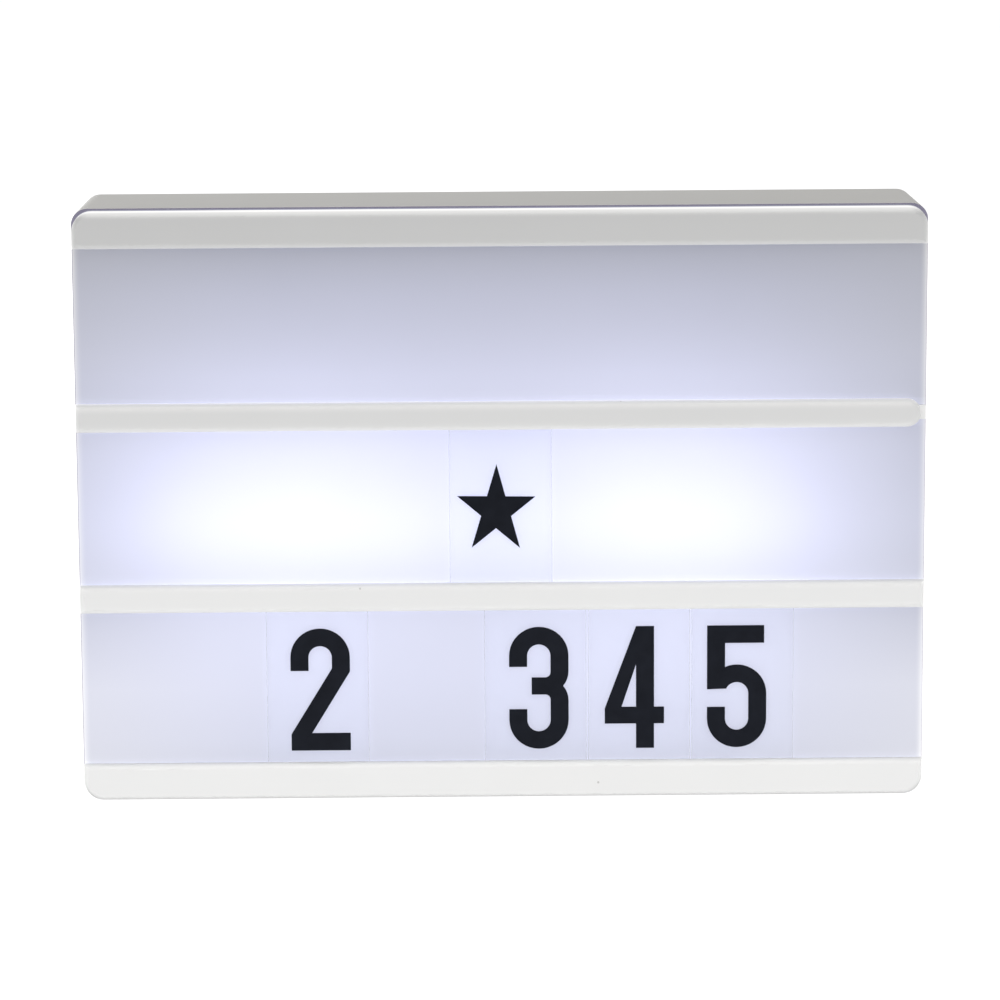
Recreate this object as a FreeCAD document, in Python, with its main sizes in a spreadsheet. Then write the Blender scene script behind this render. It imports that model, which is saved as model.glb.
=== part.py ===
import FreeCAD, Part
import Sketcher
import math
import os

doc = FreeCAD.newDocument("CinemaLightBox")
sheet = doc.addObject("Spreadsheet::Sheet", "Sizes")

# Driving sizes in millimetres: X is the width, Y runs from the front to the back, Z is up
SIZES = [
    ("box_width", 210.0, "case width at the seam"),
    ("box_height", 148.5, "case height at the seam"),
    ("box_depth", 40.0, "front of the rails to the back"),
    ("case_wall", 2.0, "case wall at the back"),
    ("case_draft", 0.7, "how far sides and top draw in towards the back"),
    ("case_corner", 4.1, "case corner radius"),
    ("back_rounding", 1.6, "rounding round the back face"),
    ("front_inset", 0.4, "front panel and rails, inside the case outline"),
    ("front_corner", 4.8, "corner radius of panel and outer rails"),
    ("seal_inset", 0.1, "seal, inside the case outline"),
    ("seal_corner", 3.9, "seal corner radius"),
    ("seal_thickness", 0.5, "seal between panel and case"),
    ("panel_thickness", 2.0, "opal front panel"),
    ("slot_depth", 0.9, "track for the tiles, front to back"),
    ("rail_thickness", 2.0, "rail flange, front to back"),
    ("outer_rail_height", 9.5, "top and bottom rail, from the case outline"),
    ("inner_rail_height", 7.0, "the two rails between the rows"),
    ("lip_height", 1.75, "how far a flange stands over the track"),
    ("rail_rounding", 1.2, "rounded front edges of the rails"),
    ("short_end", 1.2, "round rail end, short of the panel edge"),
    ("peg_radius", 0.9, "pegs that fasten the rails to the panel"),
    ("peg_fit", 0.05, "radial clearance of a peg"),
    ("peg_pitch", 60.0, "distance between pegs"),
    ("peg_edge", 2.5, "peg centre from the track side of an outer web"),
    ("tile_width", 25.4, "letter tile width"),
    ("tile_thickness", 0.45, "letter tile thickness"),
    ("tile_corner", 1.0, "letter tile corner radius"),
    ("tile_rest", 0.05, "tile above the web it stands on"),
    ("tile_headroom", 0.55, "tile below the web over it"),
    ("tile_pitch", 25.8, "distance between tiles that stand together"),
    ("star_tile_place", -0.25, "centre of the star tile"),
    ("tile_one_place", -46.05, "centre of the tile that stands alone"),
    ("tile_two_place", 8.15, "centre of the first tile of the train"),
    ("rib_thickness", 1.2, "locating ribs behind the panel"),
    ("rib_depth", 5.0, "how far the ribs reach into the case"),
    ("rib_fit", 0.15, "ribs to case wall"),
    ("rib_corner_gap", 14.0, "ribs stop short of the corners"),
    ("post_inset_side", 6.0, "screw posts from the side walls"),
    ("post_inset_edge", 4.3, "screw posts from the top and bottom walls"),
    ("post_radius", 3.75, "screw posts of the case"),
    ("post_seat", 5.0, "plastic under a case screw head"),
    ("boss_radius", 3.25, "screw bosses of the panel"),
    ("boss_length", 8.0, "screw bosses of the panel"),
    ("case_screw_radius", 1.25, "case screw shank"),
    ("case_screw_length", 11.0, "case screw shank"),
    ("case_head_radius", 2.5, "case screw head"),
    ("case_head_height", 1.9, "case screw head"),
    ("screw_fit", 0.03, "shank in its pilot hole, radial"),
    ("screw_pass", 0.2, "shank or head in a passing hole, radial"),
    ("screw_tip_room", 1.0, "pilot hole beyond the screw tip"),
    ("cell_radius", 7.1, "battery cell"),
    ("cell_length", 50.5, "battery cell with its nub"),
    ("cell_pitch", 15.4, "distance between cells"),
    ("nub_radius", 2.6, "nub on the positive end"),
    ("nub_length", 1.3, "nub on the positive end"),
    ("cell_margin", 0.4, "cell to the long walls of the well"),
    ("cell_floor_gap", 0.2, "cell to the floor of the well"),
    ("cell_door_gap", 0.5, "cell to the door"),
    ("spring_length", 5.5, "contact spring under load"),
    ("spring_base", 4.6, "contact spring radius at the plate"),
    ("spring_tip", 3.0, "contact spring radius at the cell"),
    ("plate_thickness", 0.4, "contact plates"),
    ("plate_reach", 5.5, "contact plate beyond the cell axis"),
    ("solder_tab_width", 3.0, "solder tabs of the contact plates"),
    ("solder_tab_length", 2.5, "solder tab outside the well"),
    ("solder_tab_drop", 2.6, "solder tab in front of the cell axis"),
    ("solder_tab_fit", 0.2, "solder tab in its slot"),
    ("well_bottom", 13.0, "inside of the battery well, above the base"),
    ("well_wall", 1.6, "walls of the battery well"),
    ("divider_width", 0.8, "ribs between the cells"),
    ("divider_height", 3.5, "ribs between the cells"),
    ("divider_end_gap", 1.0, "ribs between the cells, short of the contact plates"),
    ("door_thickness", 1.8, "battery door"),
    ("door_overlap", 2.5, "door beyond the inside of the well"),
    ("door_gap", 0.3, "door edge to the case"),
    ("door_seat_gap", 0.1, "door to its ledge"),
    ("ledge_thickness", 2.0, "ledge under the door"),
    ("ledge_rim", 2.0, "ledge beyond the door"),
    ("door_corner", 2.0, "door corner radius"),
    ("hook_place", 18.0, "door hooks from the middle"),
    ("hook_width", 8.0, "door hooks"),
    ("hook_thickness", 1.4, "door hooks"),
    ("hook_drop", 2.5, "hooks below the door edge"),
    ("hook_root", 2.0, "height of the foot that carries a hook"),
    ("hook_wall_gap", 0.3, "hook to the inside of the back wall"),
    ("hook_room", 0.5, "notch round a hook"),
    ("nub_door_width", 6.0, "catch on the door's free edge"),
    ("nub_door_height", 0.2, "catch beyond the door's free edge"),
    ("nub_door_depth", 0.8, "catch, front to back"),
    ("grip_width", 20.0, "finger grooves in the door"),
    ("grip_groove", 1.0, "finger groove height"),
    ("grip_pitch", 2.4, "distance between finger grooves"),
    ("grip_depth", 0.4, "finger groove depth"),
    ("grip_margin", 4.0, "last finger groove below the door's free edge"),
    ("thumb_width", 16.0, "thumb recess over the door"),
    ("thumb_height", 5.0, "thumb recess over the door"),
    ("thumb_depth", 1.2, "thumb recess over the door"),
    ("keyhole_place", 60.0, "keyholes from the middle"),
    ("keyhole_height", 118.0, "keyhole entry above the base"),
    ("keyhole_radius", 4.0, "keyhole entry"),
    ("keyhole_slot", 4.0, "keyhole slot width"),
    ("keyhole_rise", 7.0, "keyhole slot above the entry"),
    ("led_height", 6.7, "row of lamps above the ledge of the battery door"),
    ("led_left_place", 47.5, "middle of the left lamp board from the left side of the case"),
    ("led_right_place", 60.5, "middle of the right lamp board from the right side of the case"),
    ("led_pitch", 15.0, "distance between lamps"),
    ("led_width", 3.5, "lamp package along the board"),
    ("led_package_height", 2.8, "lamp package across the board"),
    ("led_package_depth", 0.8, "lamp package, front to back"),
    ("led_board_length", 64.0, "lamp boards"),
    ("led_board_height", 9.0, "lamp boards"),
    ("led_board_thickness", 1.0, "lamp boards"),
    ("led_standoff", 10.0, "lamp boards in front of the back wall"),
    ("led_screw_place", 29.0, "lamp board screws from the board's middle"),
    ("resistor_width", 3.2, "resistors"),
    ("resistor_height", 1.6, "resistors"),
    ("resistor_depth", 0.6, "resistors"),
    ("board_post_radius", 2.5, "posts that carry the boards"),
    ("board_screw_radius", 0.8, "board screw shank"),
    ("board_screw_length", 5.0, "board screw shank"),
    ("board_head_radius", 1.8, "board screw head"),
    ("board_head_height", 1.4, "board screw head"),
    ("cross_width", 0.7, "cross recess of the screws"),
    ("cross_length", 2.4, "cross recess of the screws"),
    ("cross_depth", 0.8, "cross recess of the screws"),
    ("control_place", 39.0, "middle of the control board from the right side of the case"),
    ("control_height", 36.0, "middle of the control board above the base"),
    ("control_board_length", 44.0, "control board"),
    ("control_board_height", 16.0, "control board"),
    ("control_board_thickness", 1.2, "control board"),
    ("control_screw_place", 19.0, "control board screws from its middle"),
    ("switch_offset", 10.0, "switch and inlet from the board's middle"),
    ("switch_length", 12.0, "switch housing"),
    ("switch_height", 6.5, "switch housing"),
    ("switch_depth", 4.0, "switch housing"),
    ("switch_wall_gap", 0.2, "switch housing to the back wall"),
    ("switch_well", 1.6, "guide for the slider in the housing"),
    ("slider_length", 4.0, "slider along its travel"),
    ("slider_height", 2.6, "slider across its travel"),
    ("slider_travel", 4.0, "slider travel"),
    ("slider_fit", 0.2, "slider in its guide"),
    ("slider_wall_fit", 0.4, "slider in the slot of the back wall"),
    ("slider_recess", 0.1, "slider tip behind the back face"),
    ("slider_groove", 0.5, "grooves on the slider, width and depth"),
    ("slider_groove_pitch", 1.6, "distance between the grooves on the slider"),
    ("dish_length", 17.0, "finger dish round the slider"),
    ("dish_height", 9.0, "finger dish round the slider"),
    ("dish_depth", 1.0, "finger dish and inlet relief"),
    ("inlet_length", 7.6, "power inlet shell"),
    ("inlet_height", 2.9, "power inlet shell"),
    ("inlet_depth", 5.0, "power inlet shell"),
    ("inlet_wall", 0.35, "power inlet sheet metal"),
    ("inlet_fit", 0.3, "inlet in the back wall"),
    ("relief_length", 12.0, "relief round the inlet"),
    ("relief_height", 7.5, "relief round the inlet"),
    ("tongue_length", 4.8, "contact tongue of the inlet"),
    ("tongue_height", 0.7, "contact tongue of the inlet"),
    ("tongue_depth", 3.6, "contact tongue of the inlet"),
    ("lead_radius", 0.65, "insulated leads"),
    ("lead_bend", 2.2, "bend radius of a long lead"),
    ("lead_short_bend", 1.6, "bend radius of a lead at a board"),
    ("lead_lift", 4.0, "battery leads in front of their solder tabs"),
    ("lead_pad_rise", 4.0, "lead pads above the control board's middle"),
    ("lead_pad_inset", 6.0, "red battery lead pad from the end of the control board"),
    ("led_lead_spacing", 6.0, "distance between the two lamp leads"),
    ("led_lead_drop", 1.0, "lamp lead pads below the lamp row"),
    ("lead_clear", 0.6, "battery lead above the well"),
    ("board_lead_lift", 2.6, "lamp leads in front of the control board"),
    ("jumper_lift", 3.5, "jumpers behind the lamp boards"),
    ("jumper_spread", 3.6, "jumpers from the lamp row"),
    ("jumper_inset", 24.0, "jumper pads from the board's middle"),
]
for row, (alias, value, meaning) in enumerate(SIZES, start=1):
    sheet.set(f"A{row}", meaning)
    sheet.set(f"B{row}", str(value))
    sheet.setAlias(f"B{row}", alias)
doc.recompute()

# Places that several pieces share, as expressions on the sizes
front_face = "(-Sizes.box_depth / 2)"
slot_front = f"({front_face} + Sizes.rail_thickness)"
panel_front = f"({slot_front} + Sizes.slot_depth)"
panel_back = f"({panel_front} + Sizes.panel_thickness)"
case_front = f"({panel_back} + Sizes.seal_thickness)"
back_face = "(Sizes.box_depth / 2)"
back_wall = f"({back_face} - Sizes.case_wall)"
mid_wall = f"({back_face} - Sizes.case_wall / 2)"

cavity_half = "(Sizes.box_width / 2 - Sizes.case_draft - Sizes.case_wall)"
cavity_bottom = "Sizes.case_wall"
cavity_top = "(Sizes.box_height - Sizes.case_draft - Sizes.case_wall)"
post_side = f"({cavity_half} - Sizes.post_inset_side)"
post_low = f"({cavity_bottom} + Sizes.post_inset_edge)"
post_high = f"({cavity_top} - Sizes.post_inset_edge)"
post_front = f"({panel_back} + Sizes.boss_length)"
screw_seat = f"({post_front} + Sizes.post_seat)"
post_places = [(f"({side} * {post_side})", level) for side in (-1, 0, 1) for level in (post_low, post_high)]

front_half = "(Sizes.box_width / 2 - Sizes.front_inset)"
front_top = "(Sizes.box_height - Sizes.front_inset)"
window = "((Sizes.box_height - 2 * Sizes.outer_rail_height - 2 * Sizes.inner_rail_height) / 3)"
bottom_row = "Sizes.outer_rail_height"
lower_rail_bottom = f"({bottom_row} + {window})"
middle_row = f"({lower_rail_bottom} + Sizes.inner_rail_height)"
upper_rail_bottom = f"({middle_row} + {window})"
top_row = f"({upper_rail_bottom} + Sizes.inner_rail_height)"
top_rail_bottom = f"({top_row} + {window})"

contact_half = "((Sizes.cell_length + Sizes.spring_length) / 2)"
well_half = f"({contact_half} + Sizes.plate_thickness)"
well_height = "(2 * Sizes.cell_pitch + 2 * Sizes.cell_radius + 2 * Sizes.cell_margin)"
well_top = f"(Sizes.well_bottom + {well_height})"
cell_depth = f"({back_face} - Sizes.door_thickness - Sizes.cell_door_gap - Sizes.cell_radius)"
well_floor = f"({cell_depth} - Sizes.cell_radius - Sizes.cell_floor_gap)"
cell_levels = [
    f"(Sizes.well_bottom + Sizes.cell_margin + Sizes.cell_radius + {number} * Sizes.cell_pitch)"
    for number in range(3)
]
door_half = f"({well_half} + Sizes.door_overlap)"
door_bottom = "(Sizes.well_bottom - Sizes.door_overlap)"
door_top = f"({well_top} + Sizes.door_overlap)"
door_inside = f"({back_face} - Sizes.door_thickness)"
hook_front = f"({back_wall} - Sizes.hook_wall_gap - Sizes.hook_thickness)"
hook_swing = f"sqrt(({back_face} - {hook_front})^2 + Sizes.hook_drop^2)"
notch_front = f"({back_face} - {hook_swing} - Sizes.hook_room)"
solder_tab_front = f"({cell_depth} - Sizes.solder_tab_drop)"

led_left = "(Sizes.led_left_place - Sizes.box_width / 2)"
led_right = "(Sizes.box_width / 2 - Sizes.led_right_place)"
led_places = [led_left, led_right]
ledge_top = f"({door_top} + Sizes.ledge_rim)"
led_level = f"({ledge_top} + Sizes.led_height)"
led_board_back = f"({back_wall} - Sizes.led_standoff)"
led_board_front = f"({led_board_back} - Sizes.led_board_thickness)"
control_back = f"({back_wall} - Sizes.switch_wall_gap - Sizes.switch_depth)"
control_front = f"({control_back} - Sizes.control_board_thickness)"
control_middle = "(Sizes.box_width / 2 - Sizes.control_place)"
switch_place = f"({control_middle} - Sizes.switch_offset)"
inlet_place = f"({control_middle} + Sizes.switch_offset)"
slider_rest = f"({switch_place} + Sizes.slider_travel / 2)"


def amount(expression):
    return float(sheet.evalExpression(expression))


# Sketches stand in planes of equal depth, so their first axis is X and their second is Z
def new_body(label):
    body = doc.addObject("PartDesign::Body", label)
    body.Label = label
    return body


def sketch_at(body, depth, name):
    sketch = body.newObject("Sketcher::SketchObject", f"{body.Name}_{name}")
    plane = next(part for part in body.Origin.OriginFeatures if part.Role == "XZ_Plane")
    sketch.AttachmentSupport = [(plane, "")]
    sketch.MapMode = "FlatFace"
    sketch.setExpression("AttachmentOffset.Base.z", f"-({depth})")
    return sketch


def dimension(sketch, kind, ends, expression):
    number = sketch.addConstraint(Sketcher.Constraint(kind, *ends, amount(expression)))
    sketch.setExpression(f"Constraints[{number}]", expression)


def rectangle(sketch, left, bottom, width, height):
    x0, z0 = amount(left), amount(bottom)
    x1, z1 = x0 + amount(width), z0 + amount(height)
    corners = [FreeCAD.Vector(x, z, 0) for x, z in ((x0, z0), (x1, z0), (x1, z1), (x0, z1))]
    sides = [
        sketch.addGeometry(Part.LineSegment(corners[number], corners[(number + 1) % 4]))
        for number in range(4)
    ]
    for number, side in enumerate(sides):
        sketch.addConstraint(Sketcher.Constraint("Coincident", side, 2, sides[(number + 1) % 4], 1))
        sketch.addConstraint(Sketcher.Constraint("Vertical" if number % 2 else "Horizontal", side))
    dimension(sketch, "DistanceX", (-1, 1, sides[0], 1), left)
    dimension(sketch, "DistanceY", (-1, 1, sides[0], 1), bottom)
    dimension(sketch, "DistanceX", (sides[0], 1, sides[0], 2), width)
    dimension(sketch, "DistanceY", (sides[1], 1, sides[1], 2), height)


def centred(sketch, middle, level, width, height):
    rectangle(sketch, f"{middle} - ({width}) / 2", f"{level} - ({height}) / 2", width, height)


def circle(sketch, across, up, radius):
    middle = FreeCAD.Vector(amount(across), amount(up), 0)
    ring = sketch.addGeometry(Part.Circle(middle, FreeCAD.Vector(0, 0, 1), amount(radius)))
    dimension(sketch, "DistanceX", (-1, 1, ring, 3), across)
    dimension(sketch, "DistanceY", (-1, 1, ring, 3), up)
    dimension(sketch, "Radius", (ring,), radius)


def round_ended(sketch, left, bottom, width, height):
    """A rectangle whose right end is a half circle."""
    x0, z0 = amount(left), amount(bottom)
    radius = amount(height) / 2
    x1, z1 = x0 + amount(width) - radius, z0 + 2 * radius
    middle = FreeCAD.Vector(x1, z0 + radius, 0)
    upper = sketch.addGeometry(Part.LineSegment(FreeCAD.Vector(x0, z1, 0), FreeCAD.Vector(x1, z1, 0)))
    nose = sketch.addGeometry(
        Part.ArcOfCircle(Part.Circle(middle, FreeCAD.Vector(0, 0, 1), radius), -math.pi / 2, math.pi / 2)
    )
    lower = sketch.addGeometry(Part.LineSegment(FreeCAD.Vector(x1, z0, 0), FreeCAD.Vector(x0, z0, 0)))
    square = sketch.addGeometry(Part.LineSegment(FreeCAD.Vector(x0, z0, 0), FreeCAD.Vector(x0, z1, 0)))
    sketch.addConstraint(Sketcher.Constraint("Tangent", upper, 2, nose, 2))
    sketch.addConstraint(Sketcher.Constraint("Tangent", nose, 1, lower, 1))
    sketch.addConstraint(Sketcher.Constraint("Coincident", lower, 2, square, 1))
    sketch.addConstraint(Sketcher.Constraint("Coincident", square, 2, upper, 1))
    sketch.addConstraint(Sketcher.Constraint("Horizontal", upper))
    sketch.addConstraint(Sketcher.Constraint("Horizontal", lower))
    sketch.addConstraint(Sketcher.Constraint("Vertical", square))
    dimension(sketch, "DistanceX", (-1, 1, square, 1), left)
    dimension(sketch, "DistanceY", (-1, 1, square, 1), bottom)
    dimension(sketch, "DistanceY", (square, 1, square, 2), height)
    dimension(sketch, "DistanceX", (lower, 2, lower, 1), f"({width}) - ({height}) / 2")


def pad(body, sketch, length, towards):
    feature = body.newObject("PartDesign::Pad", f"{sketch.Name}_pad")
    feature.Profile = sketch
    feature.setExpression("Length", length)
    feature.Reversed = towards == "back"
    return feature


def pocket(body, sketch, length, towards):
    feature = body.newObject("PartDesign::Pocket", f"{sketch.Name}_pocket")
    feature.Profile = sketch
    feature.setExpression("Length", length)
    feature.Reversed = towards == "front"
    return feature


def round_edges(body, name, radius, chosen):
    doc.recompute()
    base = body.Tip
    names = [f"Edge{number}" for number, edge in enumerate(base.Shape.Edges, start=1) if chosen(edge)]
    feature = body.newObject("PartDesign::Fillet", f"{body.Name}_{name}")
    feature.Base = (base, names)
    feature.setExpression("Radius", radius)
    return feature


def near(value, expression):
    return abs(value - amount(expression)) < 0.01


def lies_at_depth(edge, depth):
    return near(edge.BoundBox.YMin, depth) and near(edge.BoundBox.YMax, depth)


def runs_back(edge):
    return edge.BoundBox.XLength < 0.01 and edge.BoundBox.ZLength < 0.01


# Simple blocks, rods and screws
def block(name, corner, lengths):
    box = doc.addObject("Part::Box", name)
    for axis, place in zip("xyz", corner):
        box.setExpression(f"Placement.Base.{axis}", place)
    for side, length in zip(("Length", "Width", "Height"), lengths):
        box.setExpression(side, length)
    return box


TURNS = {
    "right": FreeCAD.Rotation(FreeCAD.Vector(0, 1, 0), 90),
    "left": FreeCAD.Rotation(FreeCAD.Vector(0, 1, 0), -90),
    "back": FreeCAD.Rotation(FreeCAD.Vector(1, 0, 0), -90),
    "front": FreeCAD.Rotation(FreeCAD.Vector(1, 0, 0), 90),
}


def rod(name, radius, length, start, towards):
    cylinder = doc.addObject("Part::Cylinder", name)
    cylinder.Placement = FreeCAD.Placement(FreeCAD.Vector(), TURNS[towards])
    for axis, place in zip("xyz", start):
        cylinder.setExpression(f"Placement.Base.{axis}", place)
    cylinder.setExpression("Radius", radius)
    cylinder.setExpression("Height", length)
    return cylinder


def fuse(label, shapes):
    joined = doc.addObject("Part::MultiFuse", label)
    joined.Shapes = shapes
    joined.Label = label
    return joined


def cut(label, base, tool):
    rest = doc.addObject("Part::Cut", label)
    rest.Base = base
    rest.Tool = tool
    rest.Label = label
    return rest


def group(label, shapes):
    together = doc.addObject("Part::Compound", label)
    together.Links = shapes
    together.Label = label
    return together


def screw(name, across, seat, up, kind, points):
    """A pan-head screw whose head rests on the seat and whose tip points to the front or the back."""
    head_side = "back" if points == "front" else "front"
    sign = "+" if points == "front" else "-"
    height = f"Sizes.{kind}_head_height"
    head = rod(f"{name}_head", f"Sizes.{kind}_head_radius", height, (across, seat, up), head_side)
    shank_radius, shank_length = f"Sizes.{kind}_screw_radius", f"Sizes.{kind}_screw_length"
    shank = rod(f"{name}_shank", shank_radius, shank_length, (across, seat, up), points)
    top = f"({seat} {sign} {height})"
    recess_front = f"({top} - Sizes.cross_depth)" if points == "front" else top
    bars = []
    for turn, (width, tall) in enumerate((("length", "width"), ("width", "length"))):
        corner = (f"{across} - Sizes.cross_{width} / 2", recess_front, f"{up} - Sizes.cross_{tall} / 2")
        lengths = (f"Sizes.cross_{width}", "Sizes.cross_depth", f"Sizes.cross_{tall}")
        bars.append(block(f"{name}_bar{turn}", corner, lengths))
    solid = fuse(f"{name}_solid", [head, shank])
    recess = fuse(f"{name}_recess", bars)
    return cut(name, solid, recess)


def lead(label, corners, bend):
    """A round wire along straight runs that tangent arcs join, ending square at both ends."""
    points = [FreeCAD.Vector(*[amount(place) for place in corner]) for corner in corners]
    radius = amount("Sizes.lead_radius")
    turn = amount(bend)
    edges = []
    start = points[0]
    length = 0.0
    for before, corner, after in zip(points, points[1:], points[2:]):
        arriving = (corner - before).normalize()
        leaving = (after - corner).normalize()
        half = arriving.getAngle(leaving) / 2
        cut_back = turn * math.tan(half)
        first = corner - arriving * cut_back
        last = corner + leaving * cut_back
        inward = (leaving - arriving).normalize()
        middle = corner + inward * (turn / math.cos(half) - turn)
        edges.append(Part.LineSegment(start, first).toShape())
        edges.append(Part.Arc(first, middle, last).toShape())
        length += start.distanceToPoint(first) + turn * 2 * half
        start = last
    edges.append(Part.LineSegment(start, points[-1]).toShape())
    length += start.distanceToPoint(points[-1])
    ring = Part.Wire(Part.Circle(points[0], points[1] - points[0], radius).toShape())
    solid = Part.Wire(edges).makePipeShell([ring], True, True)
    feature = doc.addObject("Part::Feature", label)
    feature.Label = label
    feature.Shape = solid
    feature.Placement = FreeCAD.Placement()
    print(f"{label}: volume {solid.Volume:.2f}, section times length {math.pi * radius ** 2 * length:.2f}")
    return feature


# Rear case: a tray with draft on its sides and top
case = new_body("rear_case")
seam_outline = sketch_at(case, case_front, "seam_outline")
rectangle(seam_outline, "-Sizes.box_width / 2", "0", "Sizes.box_width", "Sizes.box_height")
shell = pad(case, seam_outline, f"{back_face} - {case_front}", "back")
doc.recompute()


def faces_of(shape, chosen):
    return [f"Face{number}" for number, face in enumerate(shape.Faces, start=1) if chosen(face.BoundBox)]


draft = case.newObject("PartDesign::Draft", "rear_case_draft")
seam_face = faces_of(shell.Shape, lambda box: box.YLength < 0.01 and near(box.YMin, case_front))
drawn_in = faces_of(shell.Shape, lambda box: box.XLength < 0.01 or (box.ZLength < 0.01 and box.ZMin > 1))
draft.Base = (shell, drawn_in)
draft.NeutralPlane = (shell, seam_face)
draft.setExpression("Angle", f"atan(Sizes.case_draft / ({back_face} - {case_front}))")
doc.recompute()
draft.touch()
round_edges(case, "corners", "Sizes.case_corner", lambda edge: edge.BoundBox.YLength > 1)
round_edges(case, "back_edge", "Sizes.back_rounding", lambda edge: lies_at_depth(edge, back_face))

cavity = sketch_at(case, case_front, "cavity")
cavity_height = f"{cavity_top} - {cavity_bottom}"
rectangle(cavity, f"-{cavity_half}", cavity_bottom, f"2 * {cavity_half}", cavity_height)
pocket(case, cavity, f"{back_wall} - {case_front}", "back")

# Six posts for the case screws, and posts for the boards
posts = sketch_at(case, mid_wall, "posts")
for across, up in post_places:
    circle(posts, across, up, "Sizes.post_radius")
pad(case, posts, f"{mid_wall} - {post_front}", "front")
led_posts = sketch_at(case, mid_wall, "led_posts")
for middle in led_places:
    for side in (-1, 1):
        place = f"{middle} + {side} * Sizes.led_screw_place"
        circle(led_posts, place, led_level, "Sizes.board_post_radius")
pad(case, led_posts, f"{mid_wall} - {led_board_back}", "front")
control_posts = sketch_at(case, mid_wall, "control_posts")
for side in (-1, 1):
    place = f"{control_middle} + {side} * Sizes.control_screw_place"
    circle(control_posts, place, "Sizes.control_height", "Sizes.board_post_radius")
pad(case, control_posts, f"{mid_wall} - {control_back}", "front")

# Battery well with its door ledge
well_block = sketch_at(case, mid_wall, "well_block")
rectangle(
    well_block,
    f"-{well_half} - Sizes.well_wall",
    "Sizes.well_bottom - Sizes.well_wall",
    f"2 * {well_half} + 2 * Sizes.well_wall",
    f"{well_height} + 2 * Sizes.well_wall",
)
pad(case, well_block, f"{mid_wall} - {well_floor} + Sizes.well_wall", "front")
ledge = sketch_at(case, mid_wall, "ledge")
rectangle(
    ledge,
    f"-{door_half} - Sizes.ledge_rim",
    f"{door_bottom} - Sizes.ledge_rim",
    f"2 * {door_half} + 2 * Sizes.ledge_rim",
    f"{door_top} - {door_bottom} + 2 * Sizes.ledge_rim",
)
pad(case, ledge, f"{mid_wall} - {door_inside} + Sizes.ledge_thickness", "front")
well = sketch_at(case, back_face, "well")
rectangle(well, f"-{well_half}", "Sizes.well_bottom", f"2 * {well_half}", well_height)
pocket(case, well, f"{back_face} - {well_floor}", "front")
rebate = sketch_at(case, back_face, "rebate")
rectangle(
    rebate,
    f"-{door_half} - Sizes.door_gap",
    f"{door_bottom} - Sizes.door_gap",
    f"2 * {door_half} + 2 * Sizes.door_gap",
    f"{door_top} - {door_bottom} + 2 * Sizes.door_gap",
)
pocket(case, rebate, "Sizes.door_thickness + Sizes.door_seat_gap", "front")
dividers = sketch_at(case, f"{well_floor} - Sizes.well_wall / 2", "dividers")
for level in cell_levels[:2]:
    rectangle(
        dividers,
        f"-{contact_half} + Sizes.divider_end_gap",
        f"{level} + Sizes.cell_pitch / 2 - Sizes.divider_width / 2",
        f"2 * ({contact_half} - Sizes.divider_end_gap)",
        "Sizes.divider_width",
    )
pad(case, dividers, "Sizes.divider_height + Sizes.well_wall / 2", "back")

# Notches that the door hooks swing in, behind the wall and through the ledge
hook_slots = sketch_at(case, back_wall, "hook_slots")
hook_mouths = sketch_at(case, back_face, "hook_mouths")
for side in (-1, 1):
    left = f"{side} * Sizes.hook_place - Sizes.hook_width / 2 - Sizes.hook_room"
    width = "Sizes.hook_width + 2 * Sizes.hook_room"
    slot_bottom = f"{door_bottom} - Sizes.hook_drop - Sizes.hook_room"
    rectangle(hook_slots, left, slot_bottom, width, "Sizes.hook_drop + 2 * Sizes.hook_room")
    mouth_bottom = f"{door_bottom} - Sizes.door_gap"
    mouth_height = f"Sizes.well_bottom - {door_bottom} + 2 * Sizes.door_gap"
    rectangle(hook_mouths, left, mouth_bottom, width, mouth_height)
pocket(case, hook_slots, f"{back_wall} - {notch_front}", "front")
pocket(case, hook_mouths, f"{back_face} - {notch_front}", "front")
thumb = sketch_at(case, back_face, "thumb")
rectangle(thumb, "-Sizes.thumb_width / 2", door_top, "Sizes.thumb_width", "Sizes.thumb_height")
pocket(case, thumb, "Sizes.thumb_depth", "front")

# Slots for the solder tabs in the end walls of the well
tab_slots = sketch_at(case, f"{solder_tab_front} + Sizes.plate_thickness + Sizes.solder_tab_fit", "tab_slots")
for side, level in ((1, cell_levels[2]), (-1, cell_levels[0])):
    middle = f"{side} * ({well_half} + Sizes.well_wall / 2)"
    width = "2 * Sizes.well_wall"
    height = "Sizes.solder_tab_width + 2 * Sizes.solder_tab_fit"
    centred(tab_slots, middle, level, width, height)
pocket(case, tab_slots, "Sizes.plate_thickness + 2 * Sizes.solder_tab_fit", "front")

# Screw holes: a deep counterbore and a passing hole in each post, blind pilot holes for the boards
counterbores = sketch_at(case, back_face, "counterbores")
passing = sketch_at(case, back_face, "passing")
for across, up in post_places:
    circle(counterbores, across, up, "Sizes.case_head_radius + Sizes.screw_pass")
    circle(passing, across, up, "Sizes.case_screw_radius + Sizes.screw_pass")
pocket(case, counterbores, f"{back_face} - {screw_seat}", "front")
pocket(case, passing, f"{back_face} - {post_front}", "front")
led_pilots = sketch_at(case, led_board_back, "led_pilots")
for middle in led_places:
    for side in (-1, 1):
        place = f"{middle} + {side} * Sizes.led_screw_place"
        circle(led_pilots, place, led_level, "Sizes.board_screw_radius + Sizes.screw_fit")
board_pilot = "Sizes.board_screw_length - {0} + Sizes.screw_tip_room"
pocket(case, led_pilots, board_pilot.format("Sizes.led_board_thickness"), "back")
control_pilots = sketch_at(case, control_back, "control_pilots")
for side in (-1, 1):
    place = f"{control_middle} + {side} * Sizes.control_screw_place"
    circle(control_pilots, place, "Sizes.control_height", "Sizes.board_screw_radius + Sizes.screw_fit")
pocket(case, control_pilots, board_pilot.format("Sizes.control_board_thickness"), "back")

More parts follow.
